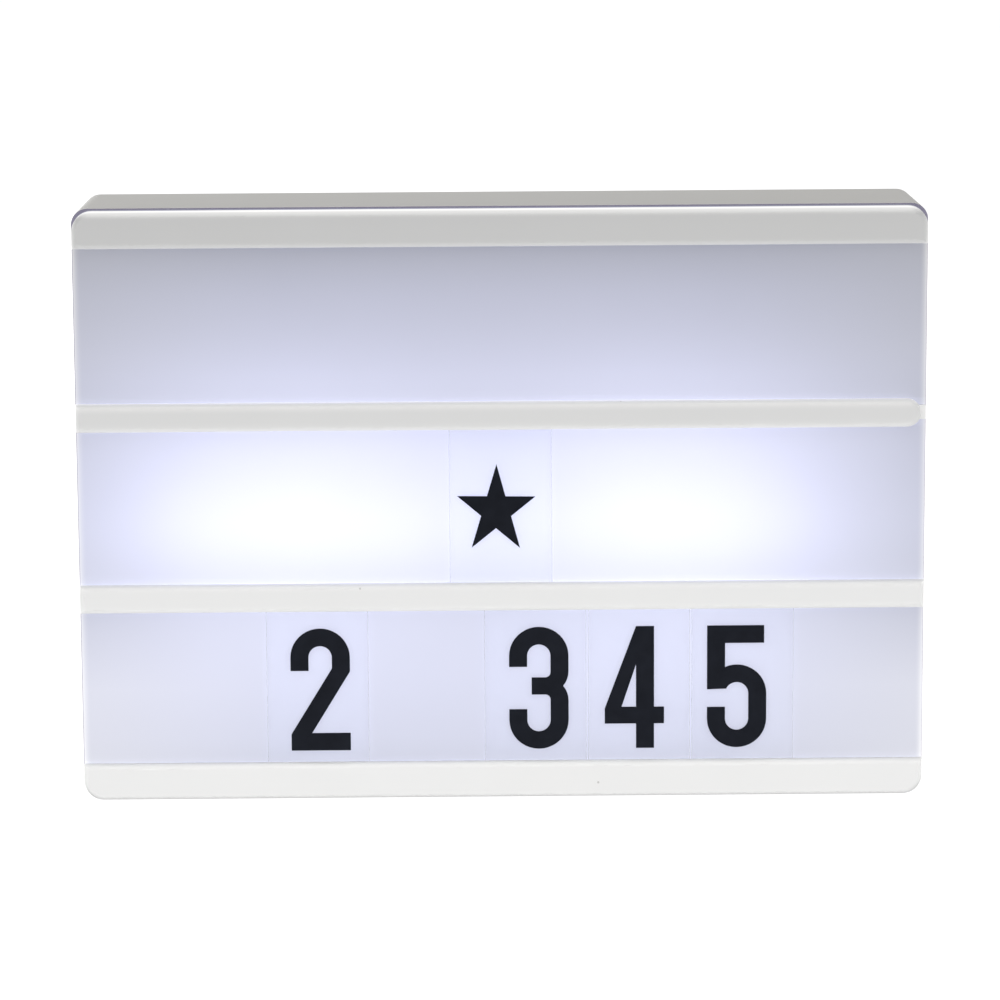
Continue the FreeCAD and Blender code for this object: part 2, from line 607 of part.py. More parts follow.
# Keyholes to hang the box by
keyhole_entry = sketch_at(case, back_face, "keyhole_entry")
keyhole_slot = sketch_at(case, back_face, "keyhole_slot")
keyhole_end = sketch_at(case, back_face, "keyhole_end")
for side in (-1, 1):
    middle = f"{side} * Sizes.keyhole_place"
    circle(keyhole_entry, middle, "Sizes.keyhole_height", "Sizes.keyhole_radius")
    rectangle(
        keyhole_slot,
        f"{middle} - Sizes.keyhole_slot / 2",
        "Sizes.keyhole_height",
        "Sizes.keyhole_slot",
        "Sizes.keyhole_rise",
    )
    circle(keyhole_end, middle, "Sizes.keyhole_height + Sizes.keyhole_rise", "Sizes.keyhole_slot / 2")
for outline in (keyhole_entry, keyhole_slot, keyhole_end):
    pocket(case, outline, "Sizes.case_wall", "front")

# Openings for the switch slider and the power inlet, each in a shallow relief
reliefs = sketch_at(case, back_face, "reliefs")
centred(reliefs, switch_place, "Sizes.control_height", "Sizes.dish_length", "Sizes.dish_height")
centred(reliefs, inlet_place, "Sizes.control_height", "Sizes.relief_length", "Sizes.relief_height")
pocket(case, reliefs, "Sizes.dish_depth", "front")
openings = sketch_at(case, back_face, "openings")
centred(
    openings,
    switch_place,
    "Sizes.control_height",
    "Sizes.slider_length + Sizes.slider_travel + 2 * Sizes.slider_wall_fit",
    "Sizes.slider_height + 2 * Sizes.slider_wall_fit",
)
centred(
    openings,
    inlet_place,
    "Sizes.control_height",
    "Sizes.inlet_length + 2 * Sizes.inlet_fit",
    "Sizes.inlet_height + 2 * Sizes.inlet_fit",
)
pocket(case, openings, "Sizes.case_wall", "front")

# Light seal: a flat ring in the seam
seal = new_body("light_seal")
seal_outline = sketch_at(seal, case_front, "outline")
rectangle(
    seal_outline,
    "-Sizes.box_width / 2 + Sizes.seal_inset",
    "Sizes.seal_inset",
    "Sizes.box_width - 2 * Sizes.seal_inset",
    "Sizes.box_height - 2 * Sizes.seal_inset",
)
pad(seal, seal_outline, "Sizes.seal_thickness", "front")
round_edges(seal, "corners", "Sizes.seal_corner", runs_back)
seal_inside = sketch_at(seal, case_front, "inside")
rectangle(seal_inside, f"-{cavity_half}", cavity_bottom, f"2 * {cavity_half}", cavity_height)
pocket(seal, seal_inside, "Sizes.seal_thickness", "front")

# Rails: name, bottom, height, bottom and top of the web, peg level, and whether the right end is round
RAILS = [
    (
        "top_rail",
        top_rail_bottom,
        f"{front_top} - {top_rail_bottom}",
        f"({top_rail_bottom} + Sizes.lip_height)",
        front_top,
        f"{top_rail_bottom} + Sizes.lip_height + Sizes.peg_edge",
        False,
    ),
    (
        "upper_rail",
        upper_rail_bottom,
        "Sizes.inner_rail_height",
        f"({upper_rail_bottom} + Sizes.lip_height)",
        f"({top_row} - Sizes.lip_height)",
        f"{upper_rail_bottom} + Sizes.inner_rail_height / 2",
        True,
    ),
    (
        "lower_rail",
        lower_rail_bottom,
        "Sizes.inner_rail_height",
        f"({lower_rail_bottom} + Sizes.lip_height)",
        f"({middle_row} - Sizes.lip_height)",
        f"{lower_rail_bottom} + Sizes.inner_rail_height / 2",
        False,
    ),
    (
        "bottom_rail",
        "Sizes.front_inset",
        "Sizes.outer_rail_height - Sizes.front_inset",
        "Sizes.front_inset",
        "(Sizes.outer_rail_height - Sizes.lip_height)",
        "Sizes.outer_rail_height - Sizes.lip_height - Sizes.peg_edge",
        False,
    ),
]
peg_places = [f"{step} * Sizes.peg_pitch" for step in (-1.5, -0.5, 0.5, 1.5)]


def outer_corner(edge):
    """Edges that run back at the four corners of the front outline."""
    level = edge.BoundBox.ZMin
    at_side = near(abs(edge.BoundBox.XMin), front_half)
    return runs_back(edge) and at_side and (near(level, front_top) or near(level, "Sizes.front_inset"))


for label, bottom, height, web_bottom, web_top, peg_level, round_right in RAILS:
    rail = new_body(label)
    flange = sketch_at(rail, slot_front, "flange")
    if round_right:
        round_ended(flange, f"-{front_half}", bottom, f"2 * {front_half} - Sizes.short_end", height)
    else:
        rectangle(flange, f"-{front_half}", bottom, f"2 * {front_half}", height)
    pad(rail, flange, "Sizes.rail_thickness", "front")
    web = sketch_at(rail, panel_front, "web")
    rectangle(web, f"-{front_half}", web_bottom, f"2 * {front_half}", f"{web_top} - {web_bottom}")
    pad(rail, web, "Sizes.slot_depth", "front")
    pegs = sketch_at(rail, panel_front, "pegs")
    for place in peg_places:
        circle(pegs, place, peg_level, "Sizes.peg_radius")
    pad(rail, pegs, "Sizes.panel_thickness", "back")
    if label in ("top_rail", "bottom_rail"):
        round_edges(rail, "corners", "Sizes.front_corner", outer_corner)
    round_edges(rail, "front_edges", "Sizes.rail_rounding", lambda edge: lies_at_depth(edge, front_face))

# Front panel with its locating ribs, screw bosses and peg holes
panel = new_body("front_panel")
sheet_outline = sketch_at(panel, panel_back, "outline")
panel_height = f"{front_top} - Sizes.front_inset"
rectangle(sheet_outline, f"-{front_half}", "Sizes.front_inset", f"2 * {front_half}", panel_height)
pad(panel, sheet_outline, "Sizes.panel_thickness", "front")
round_edges(panel, "corners", "Sizes.front_corner", outer_corner)
ribs = sketch_at(panel, panel_back, "ribs")
flat_length = f"2 * ({cavity_half} - Sizes.rib_corner_gap)"
for bottom in (
    f"{cavity_bottom} + Sizes.rib_fit",
    f"{cavity_top} - Sizes.rib_fit - Sizes.rib_thickness",
):
    rectangle(ribs, f"-({flat_length}) / 2", bottom, flat_length, "Sizes.rib_thickness")
tall_length = f"{cavity_top} - {cavity_bottom} - 2 * Sizes.rib_corner_gap"
for left in (
    f"-{cavity_half} + Sizes.rib_fit",
    f"{cavity_half} - Sizes.rib_fit - Sizes.rib_thickness",
):
    rectangle(ribs, left, f"{cavity_bottom} + Sizes.rib_corner_gap", "Sizes.rib_thickness", tall_length)
pad(panel, ribs, "Sizes.rib_depth", "back")
bosses = sketch_at(panel, panel_back, "bosses")
pilots = sketch_at(panel, post_front, "pilots")
for across, up in post_places:
    circle(bosses, across, up, "Sizes.boss_radius")
    circle(pilots, across, up, "Sizes.case_screw_radius + Sizes.screw_fit")
pad(panel, bosses, "Sizes.boss_length", "back")
pocket(panel, pilots, "Sizes.case_screw_length - Sizes.post_seat + Sizes.screw_tip_room", "front")
peg_holes = sketch_at(panel, panel_back, "peg_holes")
for rail_values in RAILS:
    for place in peg_places:
        circle(peg_holes, place, rail_values[5], "Sizes.peg_radius + Sizes.peg_fit")
pocket(panel, peg_holes, "Sizes.panel_thickness", "front")

# Clear letter tiles, each standing on the web below its window
TILES = [
    ("star_tile", "Sizes.star_tile_place", middle_row),
    ("tile_one", "Sizes.tile_one_place", bottom_row),
    ("tile_two", "Sizes.tile_two_place", bottom_row),
    ("tile_three", "Sizes.tile_two_place + Sizes.tile_pitch", bottom_row),
    ("tile_four", "Sizes.tile_two_place + 2 * Sizes.tile_pitch", bottom_row),
]
tile_back = f"({slot_front} + (Sizes.slot_depth + Sizes.tile_thickness) / 2)"
tile_height = f"({window} + 2 * Sizes.lip_height - Sizes.tile_rest - Sizes.tile_headroom)"
for label, middle, row_bottom in TILES:
    tile = new_body(label)
    outline = sketch_at(tile, tile_back, "outline")
    tile_bottom = f"{row_bottom} - Sizes.lip_height + Sizes.tile_rest"
    rectangle(outline, f"{middle} - Sizes.tile_width / 2", tile_bottom, "Sizes.tile_width", tile_height)
    pad(tile, outline, "Sizes.tile_thickness", "front")
    round_edges(tile, "corners", "Sizes.tile_corner", runs_back)

# Case screws
group(
    "case_screws",
    [
        screw(f"case_screw_{number}", across, screw_seat, up, "case", "front")
        for number, (across, up) in enumerate(post_places, start=1)
    ],
)

# Lamp boards with their lamps, resistors and screws
board_screws = []
resistors = []
for side_name, middle in zip(("left", "right"), led_places):
    board = new_body(f"led_board_{side_name}")
    outline = sketch_at(board, led_board_back, "outline")
    centred(outline, middle, led_level, "Sizes.led_board_length", "Sizes.led_board_height")
    pad(board, outline, "Sizes.led_board_thickness", "front")
    holes = sketch_at(board, led_board_back, "holes")
    for side in (-1, 1):
        place = f"({middle} + {side} * Sizes.led_screw_place)"
        circle(holes, place, led_level, "Sizes.board_screw_radius + Sizes.screw_pass")
        name = f"led_screw_{len(board_screws) + 1}"
        board_screws.append(screw(name, place, led_board_front, led_level, "board", "back"))
    pocket(board, holes, "Sizes.led_board_thickness", "front")
    lamps = []
    for step in (-1.5, -0.5, 0.5, 1.5):
        corner = (
            f"{middle} + {step} * Sizes.led_pitch - Sizes.led_width / 2",
            f"{led_board_front} - Sizes.led_package_depth",
            f"{led_level} - Sizes.led_package_height / 2",
        )
        lengths = ("Sizes.led_width", "Sizes.led_package_depth", "Sizes.led_package_height")
        lamps.append(block(f"led_{side_name}_{len(lamps) + 1}", corner, lengths))
    group(f"leds_{side_name}", lamps)
    for step in (-1, 1):
        corner = (
            f"{middle} + {step} * Sizes.led_pitch - Sizes.resistor_width / 2",
            f"{led_board_front} - Sizes.resistor_depth",
            f"{led_level} - Sizes.resistor_height / 2",
        )
        lengths = ("Sizes.resistor_width", "Sizes.resistor_depth", "Sizes.resistor_height")
        resistors.append(block(f"resistor_{len(resistors) + 1}", corner, lengths))
group("led_resistors", resistors)
group("led_board_screws", board_screws)

# Control board with the switch and the power inlet
control = new_body("control_board")
outline = sketch_at(control, control_back, "outline")
board_sizes = ("Sizes.control_board_length", "Sizes.control_board_height")
centred(outline, control_middle, "Sizes.control_height", *board_sizes)
pad(control, outline, "Sizes.control_board_thickness", "front")
holes = sketch_at(control, control_back, "holes")
control_screws = []
for side in (-1, 1):
    place = f"({control_middle} + {side} * Sizes.control_screw_place)"
    circle(holes, place, "Sizes.control_height", "Sizes.board_screw_radius + Sizes.screw_pass")
    name = f"control_screw_{len(control_screws) + 1}"
    control_screws.append(screw(name, place, control_front, "Sizes.control_height", "board", "back"))
pocket(control, holes, "Sizes.control_board_thickness", "front")
group("control_board_screws", control_screws)

switch = new_body("switch_body")
housing = sketch_at(switch, control_back, "housing")
centred(housing, switch_place, "Sizes.control_height", "Sizes.switch_length", "Sizes.switch_height")
pad(switch, housing, "Sizes.switch_depth", "back")
guide = sketch_at(switch, f"{control_back} + Sizes.switch_depth", "guide")
centred(
    guide,
    switch_place,
    "Sizes.control_height",
    "Sizes.slider_length + Sizes.slider_travel + 2 * Sizes.slider_fit",
    "Sizes.slider_height + 2 * Sizes.slider_fit",
)
pocket(switch, guide, "Sizes.switch_well", "front")

slider_root = f"({control_back} + Sizes.switch_depth - Sizes.switch_well + Sizes.slider_fit)"
slider_tip = f"({back_face} - Sizes.slider_recess)"
slider = new_body("switch_slider")
section = sketch_at(slider, slider_root, "section")
centred(section, slider_rest, "Sizes.control_height", "Sizes.slider_length", "Sizes.slider_height")
pad(slider, section, f"{slider_tip} - {slider_root}", "back")
grooves = sketch_at(slider, slider_tip, "grooves")
for step in (-1, 1):
    middle = f"{slider_rest} + {step} * Sizes.slider_groove_pitch / 2"
    centred(grooves, middle, "Sizes.control_height", "Sizes.slider_groove", "2 * Sizes.slider_height")
pocket(slider, grooves, "Sizes.slider_groove", "front")

inlet = new_body("usb_socket")
sleeve = sketch_at(inlet, control_back, "sleeve")
centred(sleeve, inlet_place, "Sizes.control_height", "Sizes.inlet_length", "Sizes.inlet_height")
pad(inlet, sleeve, "Sizes.inlet_depth", "back")
mouth = sketch_at(inlet, f"{control_back} + Sizes.inlet_depth", "mouth")
centred(
    mouth,
    inlet_place,
    "Sizes.control_height",
    "Sizes.inlet_length - 2 * Sizes.inlet_wall",
    "Sizes.inlet_height - 2 * Sizes.inlet_wall",
)
pocket(inlet, mouth, "Sizes.inlet_depth - Sizes.inlet_wall", "front")
tongue = new_body("usb_tongue")
tongue_section = sketch_at(tongue, f"{control_back} + Sizes.inlet_wall", "section")
centred(tongue_section, inlet_place, "Sizes.control_height", "Sizes.tongue_length", "Sizes.tongue_height")
pad(tongue, tongue_section, "Sizes.tongue_depth", "back")

# Battery cells in series, the middle one turned round, with springs at their flat ends
springs = []
for name, level, nub_side in zip(("one", "two", "three"), cell_levels, (1, -1, 1)):
    towards = "right" if nub_side > 0 else "left"
    flat_end = (f"{nub_side} * ({contact_half} - Sizes.cell_length)", cell_depth, level)
    can_length = "Sizes.cell_length - Sizes.nub_length"
    can = rod(f"cell_{name}_can", "Sizes.cell_radius", can_length, flat_end, towards)
    shoulder = (f"{nub_side} * ({contact_half} - Sizes.nub_length)", cell_depth, level)
    nub = rod(f"cell_{name}_nub", "Sizes.nub_radius", "Sizes.nub_length", shoulder, towards)
    fuse(f"battery_{name}", [can, nub])
    spring = doc.addObject("Part::Cone", f"spring_{name}")
    spring.Placement = FreeCAD.Placement(FreeCAD.Vector(), TURNS[towards])
    for axis, place in zip("xyz", (f"-{nub_side} * {contact_half}", cell_depth, level)):
        spring.setExpression(f"Placement.Base.{axis}", place)
    spring.setExpression("Radius1", "Sizes.spring_base")
    spring.setExpression("Radius2", "Sizes.spring_tip")
    spring.setExpression("Height", "Sizes.spring_length")
    springs.append(spring)
group("battery_springs", springs)


def contact_plate(name, side, first, last):
    """A plate on an end wall of the well that reaches from the first cell to the last."""
    left = contact_half if side > 0 else f"-{well_half}"
    corner = (left, f"{cell_depth} - Sizes.plate_reach", f"{first} - Sizes.plate_reach")
    lengths = ("Sizes.plate_thickness", "2 * Sizes.plate_reach", f"{last} - {first} + 2 * Sizes.plate_reach")
    return block(name, corner, lengths)


def solder_tab(name, side, level):
    """A tab that runs from its plate out through the end wall."""
    reach = "Sizes.plate_thickness + Sizes.well_wall + Sizes.solder_tab_length"
    left = contact_half if side > 0 else f"-{contact_half} - ({reach})"
    corner = (left, solder_tab_front, f"{level} - Sizes.solder_tab_width / 2")
    return block(name, corner, (reach, "Sizes.plate_thickness", "Sizes.solder_tab_width"))


low, middle_cell, high = cell_levels
fuse("positive_plate", [contact_plate("positive_flat", 1, high, high), solder_tab("positive_tab", 1, high)])
fuse("negative_plate", [contact_plate("negative_flat", -1, low, low), solder_tab("negative_tab", -1, low)])
group(
    "bridge_plates",
    [contact_plate("right_bridge", 1, low, middle_cell), contact_plate("left_bridge", -1, middle_cell, high)],
)

# Battery door: hooks at its lower edge, a small catch at its free edge, finger grooves
door = new_body("battery_door")
door_outline = sketch_at(door, back_face, "outline")
rectangle(door_outline, f"-{door_half}", door_bottom, f"2 * {door_half}", f"{door_top} - {door_bottom}")
pad(door, door_outline, "Sizes.door_thickness", "front")
round_edges(
    door,
    "corners",
    "Sizes.door_corner",
    lambda edge: runs_back(edge) and near(edge.BoundBox.ZMin, door_top),
)
feet = sketch_at(door, f"{door_inside} + Sizes.door_thickness / 2", "feet")
hooks = sketch_at(door, f"{hook_front} + Sizes.hook_thickness", "hooks")
for side in (-1, 1):
    left = f"{side} * Sizes.hook_place - Sizes.hook_width / 2"
    rectangle(feet, left, door_bottom, "Sizes.hook_width", "Sizes.hook_root")
    rectangle(
        hooks,
        left,
        f"{door_bottom} - Sizes.hook_drop",
        "Sizes.hook_width",
        "Sizes.hook_drop + Sizes.hook_root",
    )
pad(door, feet, f"{door_inside} + Sizes.door_thickness / 2 - {hook_front}", "front")
pad(door, hooks, "Sizes.hook_thickness", "front")
catch = sketch_at(door, f"{back_face} - Sizes.nub_door_depth / 2", "catch")
rectangle(
    catch,
    "-Sizes.nub_door_width / 2",
    f"{door_top} - Sizes.nub_door_height",
    "Sizes.nub_door_width",
    "2 * Sizes.nub_door_height",
)
pad(door, catch, "Sizes.nub_door_depth", "front")
grip = sketch_at(door, back_face, "grip")
for number in range(4):
    level = f"{door_top} - Sizes.grip_margin - {number} * Sizes.grip_pitch"
    centred(grip, "0", level, "Sizes.grip_width", "Sizes.grip_groove")
pocket(door, grip, "Sizes.grip_depth", "front")

# Leads, held at both ends and lying along the well and the boards
tab_mid = f"({well_half} + Sizes.well_wall + Sizes.solder_tab_length / 2)"
lead_front = f"({solder_tab_front} - Sizes.lead_lift)"
pad_level = "(Sizes.control_height + Sizes.lead_pad_rise)"
red_pad = f"({control_middle} - Sizes.control_board_length / 2 + Sizes.lead_pad_inset)"
black_pad = f"({red_pad} + Sizes.led_lead_spacing)"
over_well = f"({well_top} + Sizes.well_wall + Sizes.lead_radius + Sizes.lead_clear)"
lead(
    "red_battery_lead",
    [
        (tab_mid, solder_tab_front, high),
        (tab_mid, lead_front, high),
        (red_pad, lead_front, high),
        (red_pad, lead_front, pad_level),
        (red_pad, control_front, pad_level),
    ],
    "Sizes.lead_bend",
)
lead(
    "black_battery_lead",
    [
        (f"-{tab_mid}", solder_tab_front, low),
        (f"-{tab_mid}", lead_front, low),
        (f"-{tab_mid}", lead_front, over_well),
        (black_pad, lead_front, over_well),
        (black_pad, lead_front, pad_level),
        (black_pad, control_front, pad_level),
    ],
    "Sizes.lead_bend",
)
board_lead_front = f"({control_front} - Sizes.board_lead_lift)"
red_led_place = f"({control_middle} - Sizes.led_lead_spacing)"
for label, place in (("red_led_lead", red_led_place), ("black_led_lead", control_middle)):
    lead(
        label,
        [
            (place, control_front, pad_level),
            (place, board_lead_front, pad_level),
            (place, board_lead_front, f"{led_level} - Sizes.led_lead_drop"),
            (place, led_board_back, f"{led_level} - Sizes.led_lead_drop"),
        ],
        "Sizes.lead_short_bend",
    )
jumper_back = f"({led_board_back} + Sizes.jumper_lift)"
right_pad = f"({led_right} - Sizes.jumper_inset)"
left_pad = f"({led_left} + Sizes.jumper_inset)"
for label, side in (("red_jumper_lead", 1), ("black_jumper_lead", -1)):
    level = f"({led_level} + {side} * Sizes.jumper_spread)"
    lead(
        label,
        [
            (right_pad, led_board_back, level),
            (right_pad, jumper_back, level),
            (left_pad, jumper_back, level),
            (left_pad, led_board_back, level),
        ],
        "Sizes.lead_bend",
    )

# Check every object, then write each piece
NODES = [
    "rear_case",
    "light_seal",
    "front_panel",
    "top_rail",
    "upper_rail",
    "lower_rail",
    "bottom_rail",
    "star_tile",
    "tile_one",
    "tile_two",
    "tile_three",
    "tile_four",
    "case_screws",
    "led_board_left",
    "led_board_right",
    "leds_left",
    "leds_right",
    "led_resistors",
    "led_board_screws",
    "control_board",
    "control_board_screws",
    "switch_body",
    "switch_slider",
    "usb_socket",
    "usb_tongue",
    "battery_one",
    "battery_two",
    "battery_three",
    "battery_springs",
    "positive_plate",
    "negative_plate",
    "bridge_plates",
    "battery_door",
    "red_battery_lead",
    "black_battery_lead",
    "red_led_lead",
    "black_led_lead",
    "red_jumper_lead",
    "black_jumper_lead",
]
doc.recompute()
for item in doc.Objects:
    if "Invalid" in item.State or "Error" in item.State:
        raise RuntimeError(f"{item.Label} failed: {item.State}")
    if item.TypeId == "PartDesign::Pocket" and item.Shape.Volume >= item.BaseFeature.Shape.Volume - 1e-6:
        raise RuntimeError(f"{item.Label} cuts nothing")
for label in NODES:
    shape = doc.getObjectsByLabel(label)[0].Shape
    if shape.isNull() or not shape.isValid():
        raise RuntimeError(f"{label} has no valid shape")
os.makedirs("parts", exist_ok=True)
for label in NODES:
    shape = doc.getObjectsByLabel(label)[0].Shape
    shape.exportStep(f"parts/{label}.step")
    print(f"{label}: {len(shape.Solids)} solids, {shape.Volume:.1f} cubic millimetres")
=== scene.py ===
from math import acos, cos, degrees, pi, radians, sin, sqrt

import bmesh
import bpy
from mathutils import Matrix, Vector


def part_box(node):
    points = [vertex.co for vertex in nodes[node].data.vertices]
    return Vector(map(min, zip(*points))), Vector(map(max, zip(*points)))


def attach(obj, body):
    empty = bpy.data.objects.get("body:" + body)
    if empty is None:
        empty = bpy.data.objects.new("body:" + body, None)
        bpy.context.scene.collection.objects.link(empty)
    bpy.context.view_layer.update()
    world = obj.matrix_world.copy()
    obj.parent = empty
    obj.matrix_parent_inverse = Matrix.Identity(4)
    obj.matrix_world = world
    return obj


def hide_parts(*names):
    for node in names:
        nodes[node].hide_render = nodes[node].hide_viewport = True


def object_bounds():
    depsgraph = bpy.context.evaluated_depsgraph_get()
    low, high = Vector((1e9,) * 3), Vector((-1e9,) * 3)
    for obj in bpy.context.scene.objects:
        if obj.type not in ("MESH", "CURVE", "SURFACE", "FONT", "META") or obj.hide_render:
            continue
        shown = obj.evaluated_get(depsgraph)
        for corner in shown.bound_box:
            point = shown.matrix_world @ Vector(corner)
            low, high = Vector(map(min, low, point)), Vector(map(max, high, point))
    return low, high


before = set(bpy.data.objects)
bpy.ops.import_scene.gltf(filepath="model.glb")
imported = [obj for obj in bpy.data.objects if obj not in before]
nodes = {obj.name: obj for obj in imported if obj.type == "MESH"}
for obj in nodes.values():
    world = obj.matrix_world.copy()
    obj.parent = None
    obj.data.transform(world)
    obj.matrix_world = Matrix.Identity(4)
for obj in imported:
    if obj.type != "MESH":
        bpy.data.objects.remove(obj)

cad_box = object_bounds()
mm = 0.001

# Camera
# A long lens 1.1 m in front of the box and a little above it, so that the box shows
# almost no perspective. Its turn and tilt were worked out from the edges of the box.
camera = bpy.data.objects.new("camera", bpy.data.cameras.new("camera"))
bpy.context.scene.collection.objects.link(camera)
bpy.context.scene.camera = camera
camera.data.lens = 160.99
camera.data.sensor_width = 36.0
camera.data.clip_start = 0.05
camera.data.clip_end = 30.0
camera_place = Vector((-8.99, -1102.52, 287.18)) * mm
camera_yaw = radians(0.4536)
camera_tilt = radians(11.0326)
camera_roll = radians(-0.3545)
ahead = Vector(
    (sin(camera_yaw) * cos(camera_tilt), cos(camera_yaw) * cos(camera_tilt), -sin(camera_tilt))
)
level = Vector((cos(camera_yaw), -sin(camera_yaw), 0.0))
upright = level.cross(ahead)
across = cos(camera_roll) * level + sin(camera_roll) * upright
upwards = cos(camera_roll) * upright - sin(camera_roll) * level
turn = Matrix((across, upwards, -ahead)).transposed().to_4x4()
camera.matrix_world = Matrix.Translation(camera_place) @ turn

# Studio
# A white floor that sweeps up into a wall all round, so that no edge shows behind the box.
# It glows faintly, as a lit paper sweep does, and soft boxes stand round it.
scene = bpy.context.scene
scene.view_settings.view_transform = "Standard"
world = bpy.data.worlds.new("studio")
scene.world = world
world.use_nodes = True
world.node_tree.nodes["Background"].inputs["Color"].default_value = (1.0, 1.0, 1.0, 1.0)
world.node_tree.nodes["Background"].inputs["Strength"].default_value = 0.26


def add_node(tree, kind, inputs=None, **settings):
    """Adds a node; an input is a plain value, a socket, or a node whose first output it takes."""
    made = tree.nodes.new(kind)
    for name, value in settings.items():
        setattr(made, name, value)
    for key, value in (inputs or {}).items():
        if isinstance(value, bpy.types.Node):
            tree.links.new(value.outputs[0], made.inputs[key])
        elif isinstance(value, bpy.types.NodeSocket):
            tree.links.new(value, made.inputs[key])
        else:
            made.inputs[key].default_value = value
    return made


def calculate(tree, operation, first, second=0.0, third=0.0):
    return add_node(tree, "ShaderNodeMath", {0: first, 1: second, 2: third}, operation=operation)


def plain_material(name, values):
    """A material whose even values stand on the shader's own sockets."""
    material = bpy.data.materials.new(name)
    material.use_nodes = True
    shader = material.node_tree.nodes["Principled BSDF"]
    for socket, value in values.items():
        shader.inputs[socket].default_value = value
    return material, material.node_tree, shader


def solid_object(name, mesh, materials):
    made = bpy.data.objects.new(name, mesh)
    scene.collection.objects.link(made)
    for material in materials:
        mesh.materials.append(material)
    return made


paper, paper_tree, paper_shader = plain_material(
    "white_sweep", {"Base Color": (0.5, 0.5, 0.5, 1.0), "Roughness": 0.9, "Specular IOR Level": 0.0}
)
paper_shader.inputs["Emission Color"].default_value = (1.0, 1.0, 1.0, 1.0)
paper_shader.inputs["Emission Strength"].default_value = 0.9
# Surfaces that glow aren't aimed at as lamps, which keeps the edges next to them free of noise.
paper.cycles.emission_sampling = "NONE"
floor_radius = 4.0
sweep_radius = 1.5
sweep = bmesh.new()
steps_round = 96
profile = [(0.0, 0.0), (floor_radius, 0.0)]
profile += [
    (floor_radius + sweep_radius * sin(a), sweep_radius * (1 - cos(a)))
    for a in (pi / 2 * step / 12 for step in range(1, 13))
]
profile += [(floor_radius + sweep_radius, 4.0)]
middle = sweep.verts.new((0.0, 0.0, 0.0))
loops = []
for radius, height in profile[1:]:
    loops.append(
        [
            sweep.verts.new((radius * cos(a), radius * sin(a), height))
            for a in (2 * pi * step / steps_round for step in range(steps_round))
        ]
    )
for step in range(steps_round):
    after = (step + 1) % steps_round
    sweep.faces.new((middle, loops[0][step], loops[0][after]))
    for lower, upper in zip(loops, loops[1:]):
        sweep.faces.new((lower[step], upper[step], upper[after], lower[after]))
sweep_mesh = bpy.data.meshes.new("sweep")
sweep.to_mesh(sweep_mesh)
sweep.free()
floor = solid_object("studio_sweep", sweep_mesh, [paper])
floor.visible_diffuse = False
floor.visible_glossy = False
floor.visible_shadow = False


def soft_light(name, place, target, width, height, brightness):
    """A rectangular soft box; its brightness is the radiance of its face."""
    data = bpy.data.lights.new(name, "AREA")
    data.shape = "RECTANGLE"
    data.size = width
    data.size_y = height
    data.energy = brightness * pi * width * height
    made = bpy.data.objects.new(name, data)
    scene.collection.objects.link(made)
    made.location = place
    made.rotation_euler = (Vector(target) - Vector(place)).to_track_quat("-Z", "Y").to_euler()
    made.visible_camera = False
    return made


box_middle = (cad_box[0] + cad_box[1]) / 2
LIGHTS = [
    ("front_light", (0.0, -0.9, 1.0), 0.9, 0.9, 0.96),
    ("back_light", (-0.45, 0.95, 0.5), 0.45, 0.45, 9.9),
    ("left_light", (-0.9, 0.3, 0.25), 0.6, 0.6, 3.7),
    ("right_light", (0.9, 0.3, 0.25), 0.6, 0.6, 3.7),
]
for name, place, width, height, brightness in LIGHTS:
    lamp = soft_light(name, place, box_middle, width, height, brightness)
    lamp.visible_glossy = name == "front_light"
strip_place = Vector((0.0, -0.18, 0.012))
strip = soft_light("low_strip", strip_place, strip_place + Vector((0.0, 1.0, 0.0)), 0.9, 0.02, 11.5)
strip.visible_glossy = False
# The low strip stands for light from the whole white floor, so the object casts no sharp shadow in it.
strip_blockers = bpy.data.collections.new("strip_blockers")
strip_blockers.objects.link(floor)
strip.light_linking.blocker_collection = strip_blockers

# Rear case
# One deep tray of white ABS, moulded with draft on its top and sides, so that it draws in
# a little towards the back. Its skin has the fine grain of a spark-eroded mould, and the
# marks for on and off are pad-printed in thick grey ink beside the switch.


